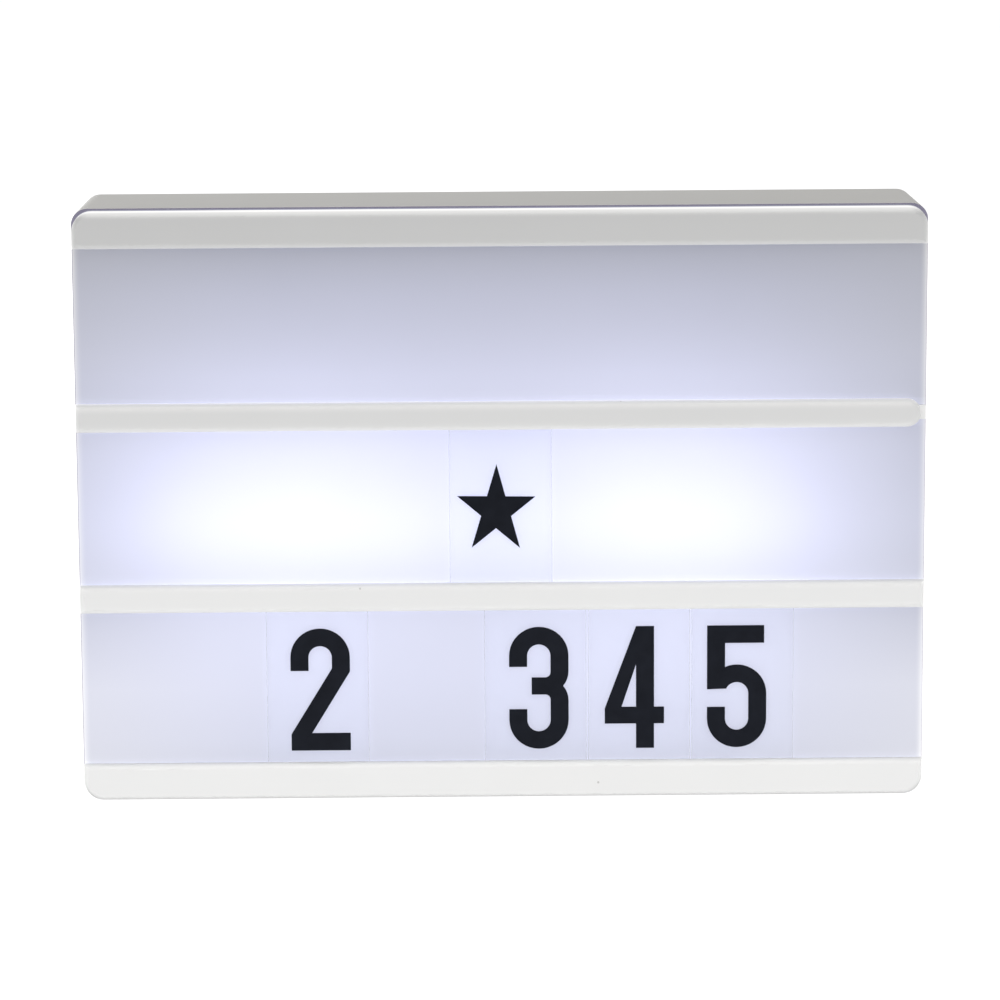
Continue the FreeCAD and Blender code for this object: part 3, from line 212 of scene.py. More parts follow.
def moulded_plastic(name, colour, roughness, mottle=0.02, grain=0.35 * mm, speck_share=0.0):
    """Plastic from a mould: faint cloudiness, a fine grain and a few dark specks."""
    material, tree, shader = plain_material(name, {"IOR": 1.53})
    place = add_node(tree, "ShaderNodeTexCoord").outputs["Object"]
    clouds = add_node(tree, "ShaderNodeTexNoise", {"Vector": place, "Scale": 45.0, "Detail": 4.0})
    shade = tuple(channel * (1 - mottle) for channel in colour)
    surface = {0: clouds, 6: (*colour, 1.0), 7: (*shade, 1.0)}
    skin_colour = add_node(tree, "ShaderNodeMix", surface, data_type="RGBA").outputs[2]
    if speck_share:
        cells = add_node(tree, "ShaderNodeTexVoronoi", {"Vector": place, "Scale": 170.0})
        small = calculate(tree, "LESS_THAN", cells.outputs["Distance"], 0.05)
        picked = add_node(tree, "ShaderNodeSeparateColor", {0: cells.outputs["Color"]})
        rare = calculate(tree, "LESS_THAN", picked, speck_share)
        speck = calculate(tree, "MULTIPLY", calculate(tree, "MULTIPLY", small, rare), 0.4)
        specked = {0: speck, 6: skin_colour, 7: (0.20, 0.18, 0.17, 1.0)}
        skin_colour = add_node(tree, "ShaderNodeMix", specked, data_type="RGBA").outputs[2]
    tree.links.new(skin_colour, shader.inputs["Base Color"])
    wear = add_node(tree, "ShaderNodeTexNoise", {"Vector": place, "Scale": 140.0, "Detail": 6.0})
    range_of_wear = {"Value": wear, "To Min": roughness - 0.07, "To Max": roughness + 0.07}
    rough = add_node(tree, "ShaderNodeMapRange", range_of_wear)
    tree.links.new(rough.outputs[0], shader.inputs["Roughness"])
    fine = {"Vector": place, "Scale": 1 / grain, "Detail": 2.0}
    texture = add_node(tree, "ShaderNodeTexNoise", fine)
    relief = {"Strength": 0.25, "Distance": 0.03 * mm, "Height": texture}
    bump = add_node(tree, "ShaderNodeBump", relief)
    tree.links.new(bump.outputs[0], shader.inputs["Normal"])
    return material


def dress(names, material):
    """Gives carried-over nodes their finish."""
    for name in names:
        nodes[name].data.materials.clear()
        nodes[name].data.materials.append(material)


def arc(x, z, radius, start, end):
    """Points on a round bowl, from one angle to another in degrees."""
    steps = max(4, round(abs(end - start) / 9))
    angles = [radians(start + (end - start) * step / steps) for step in range(steps + 1)]
    return [(x + radius * cos(angle), z + radius * sin(angle)) for angle in angles]


def flat_figure(name, outlines, thickness, place, turned, material):
    """A flat figure of this thickness, its outlines in mm, turned and then put in its place."""
    figure = bpy.data.curves.new(name, "CURVE")
    figure.dimensions = "2D"
    figure.fill_mode = "BOTH"
    figure.extrude = thickness / 2
    for outline in outlines:
        line = figure.splines.new("POLY")
        line.points.add(len(outline) - 1)
        line.use_cyclic_u = True
        for point, (right, up) in zip(line.points, outline):
            point.co = (right * mm, up * mm, 0.0, 1.0)
    drawn = solid_object(name, figure, [])
    bpy.context.view_layer.update()
    mesh = bpy.data.meshes.new_from_object(
        drawn.evaluated_get(bpy.context.evaluated_depsgraph_get())
    )
    bpy.data.objects.remove(drawn)
    mesh.transform(Matrix.Translation(place) @ turned)
    mesh.name = name
    mesh.materials.clear()
    return solid_object(name, mesh, [material])


main_body = "light_box"
case_white = moulded_plastic("case_abs", (0.84, 0.83, 0.80), 0.46, speck_share=0.03)
dress(["rear_case"], case_white)
facing_back = Matrix.Rotation(pi, 4, "Z") @ Matrix.Rotation(pi / 2, 4, "X")
back_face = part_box("rear_case")[1].y
slider_low, slider_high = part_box("switch_slider")
slider_middle = (slider_low + slider_high) / 2
slider_travel = 4.0 * mm
mark_rise = 0.2 * mm
mark_level = slider_middle.z + 7.2 * mm
bar = [(-0.3, -1.4), (0.3, -1.4), (0.3, 1.4), (-0.3, 1.4)]
ring = arc(0, 0.45, 0.95, 0, 180) + arc(0, -0.45, 0.95, 180, 360)
hole = arc(0, 0.45, 0.45, 0, 180) + arc(0, -0.45, 0.45, 180, 360)
mark_grey = moulded_plastic("mark_grey", (0.16, 0.16, 0.17), 0.5, mottle=0.1)
for name, outlines, x in (
    ("mark_on", [bar], slider_middle.x + 1.5 * mm),
    ("mark_off", [ring, hole], slider_middle.x - slider_travel - 1.5 * mm),
):
    place = Vector((x, back_face + mark_rise / 2, mark_level))
    mark = flat_figure(name, outlines, mark_rise, place, facing_back, mark_grey)
    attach(mark, main_body)

# Battery contacts
# Stamped steel plates and springs of drawn wire, all nickel plated. The plates are pressed
# into grooves of the battery well, and each spring is spot welded to its plate.


def plated_metal(name, colour, roughness):
    """Plated metal: a fine drawn grain, and patches where the plating has gone dull."""
    material, tree, shader = plain_material(name, {"Metallic": 1.0})
    place = add_node(tree, "ShaderNodeTexCoord").outputs["Object"]
    patches = add_node(tree, "ShaderNodeTexNoise", {"Vector": place, "Scale": 220.0, "Detail": 5.0})
    dull = tuple(channel * 0.8 for channel in colour)
    surface = {0: patches, 6: (*colour, 1.0), 7: (*dull, 1.0)}
    mixed = add_node(tree, "ShaderNodeMix", surface, data_type="RGBA")
    tree.links.new(mixed.outputs[2], shader.inputs["Base Color"])
    stretched = add_node(tree, "ShaderNodeVectorMath", {0: place, 1: (0.15, 1.0, 1.0)}, operation="MULTIPLY")
    drawn = add_node(tree, "ShaderNodeTexNoise", {"Vector": stretched, "Scale": 5000.0, "Detail": 2.0})
    span = {"Value": drawn, "To Min": roughness - 0.08, "To Max": roughness + 0.10}
    tree.links.new(add_node(tree, "ShaderNodeMapRange", span).outputs[0], shader.inputs["Roughness"])
    relief = {"Strength": 0.15, "Distance": 0.01 * mm, "Height": drawn}
    tree.links.new(add_node(tree, "ShaderNodeBump", relief).outputs[0], shader.inputs["Normal"])
    return material


def vector_of(tree, x, y, z):
    return add_node(tree, "ShaderNodeCombineXYZ", {0: x, 1: y, 2: z})


def shape_tree(name, sizes):
    """A tree for a repeated piece, with its places and these named sizes as inputs."""
    tree = bpy.data.node_groups.new(name, "GeometryNodeTree")
    sockets = tree.interface
    sockets.new_socket(name="Places", in_out="INPUT", socket_type="NodeSocketGeometry")
    for label, value in sizes.items():
        kind = "NodeSocketInt" if isinstance(value, int) else "NodeSocketFloat"
        made = sockets.new_socket(name=label, in_out="INPUT", socket_type=kind)
        made.default_value = value
    sockets.new_socket(name="Geometry", in_out="OUTPUT", socket_type="NodeSocketGeometry")
    return tree, tree.nodes.new("NodeGroupInput").outputs


def join_shapes(tree, shapes):
    joined = tree.nodes.new("GeometryNodeJoinGeometry")
    for shape in shapes:
        tree.links.new(shape.outputs[0], joined.inputs[0])
    return joined


def moved_shape(tree, shape, place):
    return add_node(tree, "GeometryNodeTransform", {"Geometry": shape, "Translation": place})


def end_tree(tree, sizes, shape, turned, finishes):
    """Stands the shape on each place, makes it real, and gives each part its finish."""
    standing = add_node(tree, "FunctionNodeEulerToRotation", {0: turned})
    stood = {"Points": sizes["Places"], "Instance": shape, "Rotation": standing}
    result = add_node(tree, "GeometryNodeInstanceOnPoints", stood)
    result = add_node(tree, "GeometryNodeRealizeInstances", {"Geometry": result})
    for number, finish in enumerate(finishes):
        part = add_node(tree, "GeometryNodeInputNamedAttribute", {"Name": "part"}, data_type="INT")
        same = add_node(tree, "FunctionNodeCompare", {2: part, 3: number}, data_type="INT", operation="EQUAL")
        given = {"Geometry": result, "Selection": same, "Material": finish}
        result = add_node(tree, "GeometryNodeSetMaterial", given)
    tree.links.new(result.outputs[0], tree.nodes.new("NodeGroupOutput").inputs[0])


def stand_copies(name, tree, places, sizes=None, facing=None):
    """Runs a shape tree on these places and gives the result as one plain mesh."""
    points = bpy.data.meshes.new(f"{name}_places")
    points.from_pydata(places, [], [])
    ways = points.attributes.new("facing", "FLOAT", "POINT")
    ways.data.foreach_set("value", facing or [1.0] * len(places))
    carrier = solid_object(f"{name}_carrier", points, [])
    modifier = carrier.modifiers.new("shape", "NODES")
    modifier.node_group = tree
    for socket in tree.interface.items_tree:
        if socket.in_out == "INPUT" and socket.name in (sizes or {}):
            modifier[socket.identifier] = sizes[socket.name]
    bpy.context.view_layer.update()
    graph = bpy.context.evaluated_depsgraph_get()
    mesh = bpy.data.meshes.new_from_object(carrier.evaluated_get(graph), depsgraph=graph)
    bpy.data.objects.remove(carrier)
    mesh.name = name
    mesh.materials.pop(index=0)
    return solid_object(name, mesh, [])


def fit_piece(piece, replaced, body=main_body):
    """A finished piece rides on its body and stands for the nodes that it shows in full."""
    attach(piece, body)
    if replaced:
        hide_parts(*replaced)


nickel = plated_metal("nickel_plate", (0.70, 0.68, 0.62), 0.30)
dress(["positive_plate", "negative_plate", "bridge_plates"], nickel)

spring_tree, spring_sizes = shape_tree(
    "wound_spring",
    {"Base Radius": 4.35 * mm, "Tip Radius": 2.75 * mm, "Length": 5.5 * mm, "Wire Radius": 0.25 * mm, "Turns": 4.0},
)
wire = add_node(spring_tree, "GeometryNodeCurvePrimitiveCircle", {0: 8, 4: spring_sizes["Wire Radius"]})
wire_width = calculate(spring_tree, "MULTIPLY", spring_sizes["Wire Radius"], 2.0)
rising = calculate(spring_tree, "SUBTRACT", spring_sizes["Length"], wire_width)
base_turn = {0: 24, 1: 1.0, 2: spring_sizes["Base Radius"], 3: spring_sizes["Base Radius"], 4: 0.0}
coils = {0: 24, 1: spring_sizes["Turns"], 2: spring_sizes["Base Radius"], 3: spring_sizes["Tip Radius"], 4: rising}
tip_turn = {0: 24, 1: 0.9, 2: spring_sizes["Tip Radius"], 3: spring_sizes["Tip Radius"], 4: 0.0}
windings = [add_node(spring_tree, "GeometryNodeCurveSpiral", turns) for turns in (base_turn, coils)]
closing = add_node(spring_tree, "GeometryNodeCurveSpiral", tip_turn)
windings.append(moved_shape(spring_tree, closing, vector_of(spring_tree, 0.0, 0.0, rising)))
wound = {"Curve": join_shapes(spring_tree, windings), "Profile Curve": wire, "Fill Caps": True}
spring_shape = add_node(spring_tree, "GeometryNodeCurveToMesh", wound)
lifted = vector_of(spring_tree, 0.0, 0.0, spring_sizes["Wire Radius"])
spring_facing = add_node(spring_tree, "GeometryNodeInputNamedAttribute", {"Name": "facing"}, data_type="FLOAT")
quarter_turn = calculate(spring_tree, "MULTIPLY", spring_facing, pi / 2)
end_tree(
    spring_tree,
    spring_sizes,
    moved_shape(spring_tree, spring_shape, lifted),
    vector_of(spring_tree, 0.0, quarter_turn, 0.0),
    [nickel],
)
spring_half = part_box("battery_springs")[1].x
cell_names = ["battery_one", "battery_two", "battery_three"]
cell_sides = [1, -1, 1]
cell_middles = [(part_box(name)[0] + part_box(name)[1]) / 2 for name in cell_names]
spring_places = [
    (-side * spring_half, spot.y, spot.z) for side, spot in zip(cell_sides, cell_middles)
]
springs = stand_copies("wound_springs", spring_tree, spring_places, facing=[float(side) for side in cell_sides])
fit_piece(springs, ["battery_springs"])

# Control board
# A small glass-fibre board with green solder mask that carries the switch and the inlet.
# It stands on two posts behind the battery well.


def circuit_board(name, mask, track, lines, node):
    """A glass-fibre board: coloured mask on both faces with raised tracks, bare tan edges."""
    material, tree, shader = plain_material(name, {"Roughness": 0.32, "IOR": 1.5})
    place = add_node(tree, "ShaderNodeTexCoord").outputs["Object"]
    axes = add_node(tree, "ShaderNodeSeparateXYZ", {0: place})
    tracks = None
    for axis, level, half_width in lines:
        on_track = calculate(tree, "COMPARE", axes.outputs[axis], level, half_width)
        tracks = calculate(tree, "MAXIMUM", tracks, on_track) if tracks else on_track
    masked = {0: tracks, 6: (*mask, 1.0), 7: (*track, 1.0)}
    face = add_node(tree, "ShaderNodeMix", masked, data_type="RGBA").outputs[2]
    weave = add_node(tree, "ShaderNodeTexNoise", {"Vector": place, "Scale": 900.0, "Detail": 3.0})
    tinted = add_node(tree, "ShaderNodeMapRange", {"Value": weave, "To Min": 0.88, "To Max": 1.06})
    cloudy = add_node(tree, "ShaderNodeVectorMath", {0: face, "Scale": tinted}, operation="SCALE")
    low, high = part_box(node)
    core = (high.y - low.y) / 2 - 0.05 * mm
    inside = calculate(tree, "COMPARE", axes.outputs["Y"], (low.y + high.y) / 2, core)
    edged = {0: inside, 6: cloudy.outputs[0], 7: (0.42, 0.33, 0.17, 1.0)}
    tree.links.new(add_node(tree, "ShaderNodeMix", edged, data_type="RGBA").outputs[2], shader.inputs["Base Color"])
    relief = {"Strength": 0.6, "Distance": 0.035 * mm, "Height": tracks}
    tree.links.new(add_node(tree, "ShaderNodeBump", relief).outputs[0], shader.inputs["Normal"])
    return material


control_low, control_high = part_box("control_board")
control_middle = (control_low + control_high) / 2
control_lines = [
    ("Z", control_middle.z + 4.0 * mm, 0.6 * mm),
    ("Z", control_middle.z - 5.6 * mm, 0.9 * mm),
    ("X", control_middle.x - 3.2 * mm, 0.4 * mm),
    ("X", control_middle.x + 5.6 * mm, 0.4 * mm),
]
control_green = circuit_board(
    "control_mask", (0.012, 0.13, 0.045), (0.02, 0.21, 0.07), control_lines, "control_board"
)
dress(["control_board"], control_green)

# Switch
# A slide switch in a pressed steel can, soldered to the control board. Its nylon slider has
# two thumb grooves and shows through a slot in the back of the case.


def merged_copy(name, node, width, material):
    """A merged copy of a node's solid with its edges broken."""
    body = bmesh.new()
    body.from_mesh(nodes[node].data)
    bmesh.ops.remove_doubles(body, verts=body.verts, dist=0.001 * mm)
    bmesh.ops.dissolve_limit(body, angle_limit=radians(1.0), verts=body.verts, edges=body.edges)
    mesh = bpy.data.meshes.new(name)
    body.to_mesh(mesh)
    body.free()
    made = solid_object(name, mesh, [material])
    softened = made.modifiers.new("broken_edges", "BEVEL")
    softened.width = width
    softened.segments = 2
    softened.limit_method = "ANGLE"
    return made


switch_steel = plated_metal("switch_steel", (0.60, 0.60, 0.60), 0.34)
can = merged_copy("switch_can", "switch_body", 0.25 * mm, switch_steel)
fit_piece(can, ["switch_body"])
black_nylon = moulded_plastic("black_nylon", (0.022, 0.022, 0.024), 0.42, mottle=0.2, grain=0.2 * mm)
thumb_piece = merged_copy("thumb_slider", "switch_slider", 0.12 * mm, black_nylon)
fit_piece(thumb_piece, ["switch_slider"], "switch_slider_body")

# Power inlet
# A drawn steel shell with round corners and a flared mouth, soldered to the control board.
# Inside, ten gold contacts lie on both faces of a black tongue.


def skin(name, rings, materials, ring_finish=None, smooth=False):
    """A closed solid through rings of equally many points, with a flat cap at each end."""
    shell = bmesh.new()
    rows = [[shell.verts.new(point) for point in ring] for ring in rings]
    count = len(rings[0])
    for number, (first, second) in enumerate(zip(rows, rows[1:])):
        for step in range(count):
            after = (step + 1) % count
            face = shell.faces.new((first[step], first[after], second[after], second[step]))
            face.material_index = ring_finish[number] if ring_finish else 0
            face.smooth = smooth
    caps = (shell.faces.new(rows[0]), shell.faces.new(rows[-1]))
    if ring_finish:
        caps[0].material_index = ring_finish[0]
        caps[1].material_index = ring_finish[-1]
    bmesh.ops.recalc_face_normals(shell, faces=shell.faces)
    mesh = bpy.data.meshes.new(name)
    shell.to_mesh(mesh)
    shell.free()
    return solid_object(name, mesh, materials)


def rounded_ring(low, high, corner, y, steps=6):
    """A rectangle in the X-Z plane at one depth, with round corners."""
    points = []
    for x, z, start in (
        (high.x - corner, high.z - corner, 0.0),
        (low.x + corner, high.z - corner, pi / 2),
        (low.x + corner, low.z + corner, pi),
        (high.x - corner, low.z + corner, 1.5 * pi),
    ):
        for step in range(steps + 1):
            angle = start + pi / 2 * step / steps
            points.append(Vector((x + corner * cos(angle), y, z + corner * sin(angle))))
    return points


shell_low, shell_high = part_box("usb_socket")
shell_wall = Vector((0.35, 0.0, 0.35)) * mm
shell_corner = 1.1 * mm
mouth_corner = shell_corner - shell_wall.x
flare = 0.15 * mm
shell_rings = [
    rounded_ring(shell_low + shell_wall, shell_high - shell_wall, mouth_corner, shell_low.y + shell_wall.x),
    rounded_ring(shell_low + shell_wall, shell_high - shell_wall, mouth_corner, shell_high.y - flare),
    rounded_ring(shell_low + shell_wall / 2, shell_high - shell_wall / 2, shell_corner, shell_high.y),
    rounded_ring(shell_low, shell_high, shell_corner, shell_high.y - flare / 2),
    rounded_ring(shell_low, shell_high, shell_corner, shell_low.y),
]
inlet_steel = plated_metal("inlet_steel", (0.66, 0.66, 0.67), 0.24)
inlet_shell = skin("inlet_shell", shell_rings, [inlet_steel], smooth=False)
fit_piece(inlet_shell, ["usb_socket"])
dress(["usb_tongue"], black_nylon)

contact_tree, contact_sizes = shape_tree(
    "contact_strip", {"Strip Width": 0.4 * mm, "Strip Length": 3.0 * mm, "Strip Thickness": 0.06 * mm}
)
strip_block = vector_of(
    contact_tree, contact_sizes["Strip Width"], contact_sizes["Strip Length"], contact_sizes["Strip Thickness"]
)
gold = plated_metal("contact_gold", (0.83, 0.60, 0.24), 0.26)
end_tree(
    contact_tree,
    contact_sizes,
    add_node(contact_tree, "GeometryNodeMeshCube", {"Size": strip_block}),
    vector_of(contact_tree, 0.0, 0.0, 0.0),
    [gold],
)
tongue_low, tongue_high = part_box("usb_tongue")
tongue_middle = (tongue_low + tongue_high) / 2
contact_pitch = 0.85 * mm
strip_places = [
    (tongue_middle.x + number * contact_pitch, tongue_middle.y, side_level)
    for number in range(-2, 3)
    for side_level in (tongue_low.z, tongue_high.z)
]
fit_piece(stand_copies("inlet_contacts", contact_tree, strip_places), [])

# Lamp boards
# Two narrow boards with white solder mask, which throws the light forward. Each is held on
# two posts by screws, and two copper tracks run along it under the mask.
lamp_height = (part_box("leds_left")[0].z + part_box("leds_left")[1].z) / 2
track_spread = 3.2 * mm
lamp_lines = [("Z", lamp_height + side * track_spread, 0.7 * mm) for side in (-1, 1)]
for side in ("left", "right"):
    node = f"led_board_{side}"
    board_white = circuit_board(
        f"lamp_mask_{side}", (0.80, 0.80, 0.77), (0.70, 0.69, 0.64), lamp_lines, node
    )
    dress([node], board_white)

# Lamps
# White lamps in the usual surface-mounted package: a white cup with a disc of yellow
# phosphor in it, and a tinned terminal at each end. Four are soldered to each lamp board.


def block_shape(tree, lengths, centre, part):
    """A block of one part, marked so that it gets that part's finish."""
    block = add_node(tree, "GeometryNodeMeshCube", {"Size": vector_of(tree, *lengths)})
    return marked_shape(tree, moved_shape(tree, block, vector_of(tree, *centre)), part)


def marked_shape(tree, shape, part):
    given = {"Geometry": shape, "Name": "part", "Value": part}
    return add_node(tree, "GeometryNodeStoreNamedAttribute", given, data_type="INT", domain="FACE")


lamp_tree, lamp_sizes = shape_tree(
    "white_lamp",
    {
        "Length": 3.5 * mm,
        "Height": 2.8 * mm,
        "Depth": 0.8 * mm,
        "Cup Radius": 1.15 * mm,
        "Cup Depth": 0.3 * mm,
        "Terminal Width": 0.7 * mm,
    },
)
lamp_length, lamp_tall, lamp_depth = (lamp_sizes[label] for label in ("Length", "Height", "Depth"))
package_length = calculate(lamp_tree, "MULTIPLY", lamp_length, 0.93)
package_middle = calculate(lamp_tree, "MULTIPLY", lamp_depth, 0.5)
package = block_shape(
    lamp_tree, (package_length, lamp_tall, lamp_depth), (0.0, 0.0, package_middle), 0
)
cup_foot = calculate(lamp_tree, "SUBTRACT", lamp_depth, lamp_sizes["Cup Depth"])
cup = {
    "Vertices": 28,
    "Radius Top": calculate(lamp_tree, "MULTIPLY", lamp_sizes["Cup Radius"], 1.35),
    "Radius Bottom": calculate(lamp_tree, "MULTIPLY", lamp_sizes["Cup Radius"], 0.75),
    "Depth": calculate(lamp_tree, "MULTIPLY", lamp_sizes["Cup Depth"], 2.0),
}
cup_shape = add_node(lamp_tree, "GeometryNodeMeshCone", cup)
cup_shape = moved_shape(lamp_tree, cup_shape, vector_of(lamp_tree, 0.0, 0.0, cup_foot))
cupped = add_node(lamp_tree, "GeometryNodeMeshBoolean", {0: package, 1: cup_shape}, solver="EXACT")
disc = {
    "Vertices": 28,
    "Radius": calculate(lamp_tree, "MULTIPLY", lamp_sizes["Cup Radius"], 0.86),
    "Depth": calculate(lamp_tree, "MULTIPLY", lamp_sizes["Cup Depth"], 0.6),
}
phosphor_disc = add_node(lamp_tree, "GeometryNodeMeshCylinder", disc)
phosphor_disc = moved_shape(lamp_tree, phosphor_disc, vector_of(lamp_tree, 0.0, 0.0, cup_foot))
lamp_parts = [cupped, marked_shape(lamp_tree, phosphor_disc, 1)]
terminal_reach = calculate(
    lamp_tree, "MULTIPLY", calculate(lamp_tree, "SUBTRACT", lamp_length, lamp_sizes["Terminal Width"]), 0.5
)
terminal_tall = calculate(lamp_tree, "MULTIPLY", lamp_tall, 0.72)
terminal_depth = calculate(lamp_tree, "MULTIPLY", lamp_depth, 0.3)
terminal_middle = calculate(lamp_tree, "MULTIPLY", terminal_depth, 0.5)
for side in (-1.0, 1.0):
    across_lamp = calculate(lamp_tree, "MULTIPLY", terminal_reach, side)
    lengths = (lamp_sizes["Terminal Width"], terminal_tall, terminal_depth)
    lamp_parts.append(block_shape(lamp_tree, lengths, (across_lamp, 0.0, terminal_middle), 2))
white_package = moulded_plastic("lamp_package", (0.86, 0.86, 0.84), 0.38, grain=0.1 * mm)
phosphor, phosphor_tree, phosphor_shader = plain_material(
    "lamp_phosphor",
    {"Roughness": 0.35, "Emission Color": (1.0, 0.88, 0.55, 1.0), "Emission Strength": 1.5},
)
phosphor.cycles.emission_sampling = "NONE"
phosphor_place = add_node(phosphor_tree, "ShaderNodeTexCoord").outputs["Object"]
powder = add_node(phosphor_tree, "ShaderNodeTexNoise", {"Vector": phosphor_place, "Scale": 9000.0})
powder_colour = {0: powder, 6: (0.88, 0.66, 0.10, 1.0), 7: (0.76, 0.52, 0.06, 1.0)}
powder_mix = add_node(phosphor_tree, "ShaderNodeMix", powder_colour, data_type="RGBA")
phosphor_tree.links.new(powder_mix.outputs[2], phosphor_shader.inputs["Base Color"])
tin = plated_metal("solder_tin", (0.74, 0.74, 0.75), 0.28)
towards_front = vector_of(lamp_tree, pi / 2, 0.0, 0.0)
end_tree(
    lamp_tree, lamp_sizes, join_shapes(lamp_tree, lamp_parts), towards_front, [white_package, phosphor, tin]
)
lamp_pitch = 15.0 * mm
board_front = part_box("led_board_left")[0].y
lamp_places = []
for side in ("left", "right"):
    low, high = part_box(f"leds_{side}")
    row = [(low.x + high.x) / 2 + step * lamp_pitch for step in (-1.5, -0.5, 0.5, 1.5)]
    lamp_places += row
    places = [(x, board_front, lamp_height) for x in row]
    fit_piece(stand_copies(f"{side}_lamps", lamp_tree, places), [f"leds_{side}"])

# Resistors
# Chip resistors between the lamps: a white ceramic body with a black glaze on its face and
# a tinned cap over each end, soldered flat on the lamp boards.
resistor_tree, resistor_sizes = shape_tree(
    "chip_resistor", {"Length": 3.2 * mm, "Height": 1.6 * mm, "Depth": 0.6 * mm, "Cap Width": 0.5 * mm}
)
chip_length, chip_tall, chip_depth = (resistor_sizes[label] for label in ("Length", "Height", "Depth"))
cap_width = resistor_sizes["Cap Width"]
core_length = calculate(resistor_tree, "SUBTRACT", chip_length, cap_width)
core_tall = calculate(resistor_tree, "MULTIPLY", chip_tall, 0.94)
core_depth = calculate(resistor_tree, "MULTIPLY", chip_depth, 0.85)
core_middle = calculate(resistor_tree, "MULTIPLY", core_depth, 0.5)
chip_parts = [
    block_shape(resistor_tree, (core_length, core_tall, core_depth), (0.0, 0.0, core_middle), 0)
]
glaze_length = calculate(
    resistor_tree, "SUBTRACT", chip_length, calculate(resistor_tree, "MULTIPLY", cap_width, 2.2)
)
glaze_depth = calculate(resistor_tree, "MULTIPLY", chip_depth, 0.1)
chip_parts.append(
    block_shape(resistor_tree, (glaze_length, core_tall, glaze_depth), (0.0, 0.0, core_depth), 1)
)
cap_reach = calculate(
    resistor_tree, "MULTIPLY", calculate(resistor_tree, "SUBTRACT", chip_length, cap_width), 0.5
)
chip_middle = calculate(resistor_tree, "MULTIPLY", chip_depth, 0.5)
for side in (-1.0, 1.0):
    across_chip = calculate(resistor_tree, "MULTIPLY", cap_reach, side)
    chip_parts.append(
        block_shape(resistor_tree, (cap_width, chip_tall, chip_depth), (across_chip, 0.0, chip_middle), 2)
    )
ceramic = moulded_plastic("white_ceramic", (0.80, 0.79, 0.75), 0.5, grain=0.1 * mm)
black_glaze = moulded_plastic("black_glaze", (0.016, 0.016, 0.018), 0.28, mottle=0.25, grain=0.15 * mm)
end_tree(
    resistor_tree,
    resistor_sizes,
    join_shapes(resistor_tree, chip_parts),
    vector_of(resistor_tree, pi / 2, 0.0, 0.0),
    [ceramic, black_glaze, tin],
)
chip_places = []
for row in (lamp_places[:4], lamp_places[4:]):
    row_middle = sum(row) / len(row)
    chip_places += [(row_middle + side * lamp_pitch, board_front, lamp_height) for side in (-1, 1)]
resistors = stand_copies("chip_resistors", resistor_tree, chip_places)
fit_piece(resistors, ["led_resistors"])

# Leads
# Stranded copper leads in red and black PVC. Each end is stripped and soldered to a pad of
# a board or to the tab of a battery plate, under a small cone of solder.


def pvc(name, colour, worn):
    """Soft PVC: slightly glossy, with a chalky bloom here and there."""
    material, tree, shader = plain_material(name, {"IOR": 1.52, "Coat Weight": 0.15})
    place = add_node(tree, "ShaderNodeTexCoord").outputs["Object"]
    bloom = add_node(tree, "ShaderNodeTexNoise", {"Vector": place, "Scale": 260.0, "Detail": 4.0})
    surface = {0: bloom, 6: (*colour, 1.0), 7: (*worn, 1.0)}
    mixed = add_node(tree, "ShaderNodeMix", surface, data_type="RGBA")
    tree.links.new(mixed.outputs[2], shader.inputs["Base Color"])
    span = {"Value": bloom, "To Min": 0.32, "To Max": 0.52}
    tree.links.new(add_node(tree, "ShaderNodeMapRange", span).outputs[0], shader.inputs["Roughness"])
    return material


lead_names = ["battery_lead", "led_lead", "jumper_lead"]
dress([f"red_{name}" for name in lead_names], pvc("red_pvc", (0.60, 0.016, 0.014), (0.50, 0.03, 0.025)))
dress([f"black_{name}" for name in lead_names], pvc("black_pvc", (0.018, 0.018, 0.019), (0.04, 0.04, 0.041)))


def turned_shape(tree, height, radius, sides, steps):
    """A turned solid that stands on its foot; its radius depends on the share of its height."""
    line = add_node(tree, "GeometryNodeCurvePrimitiveLine", {1: vector_of(tree, 0.0, 0.0, height)})
    fine = add_node(tree, "GeometryNodeResampleCurve", {"Curve": line, "Count": steps})
    round_section = add_node(tree, "GeometryNodeCurvePrimitiveCircle", {0: sides, 4: 1.0})
    lathed = {"Curve": fine, "Profile Curve": round_section, "Scale": radius, "Fill Caps": True}
    return add_node(tree, "GeometryNodeCurveToMesh", lathed)


def share_of_height(tree):
    return add_node(tree, "GeometryNodeSplineParameter").outputs["Factor"]


def facing_turn(tree, spin=0.0):
    """Stands a shape towards the front where facing is 1, and towards the back where it is -1."""
    facing = add_node(tree, "GeometryNodeInputNamedAttribute", {"Name": "facing"}, data_type="FLOAT")
    return vector_of(tree, calculate(tree, "MULTIPLY", facing, pi / 2), spin, 0.0)


solder_tree, solder_sizes = shape_tree(
    "solder_cone", {"Foot Radius": 1.25 * mm, "Tip Radius": 0.3 * mm, "Height": 1.1 * mm}
)
sinking = calculate(solder_tree, "POWER", calculate(solder_tree, "SUBTRACT", 1.0, share_of_height(solder_tree)), 2.2)
cone_width = calculate(solder_tree, "SUBTRACT", solder_sizes["Foot Radius"], solder_sizes["Tip Radius"])
cone_radius = calculate(
    solder_tree, "ADD", calculate(solder_tree, "MULTIPLY", sinking, cone_width), solder_sizes["Tip Radius"]
)
end_tree(
    solder_tree,
    solder_sizes,
    turned_shape(solder_tree, solder_sizes["Height"], cone_radius, 16, 9),
    facing_turn(solder_tree),
    [tin],
)
lead_radius = 0.65 * mm
lead_boxes = {name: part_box(name) for name in nodes if name.endswith("_lead")}
pad_level = lead_boxes["red_led_lead"][0].z + lead_radius
solder_places = []
solder_facing = []
for name in ("red_battery_lead", "black_battery_lead"):
    solder_places.append((lead_boxes[name][1].x - lead_radius, control_low.y, pad_level))
    solder_facing.append(1.0)
board_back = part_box("led_board_left")[1].y
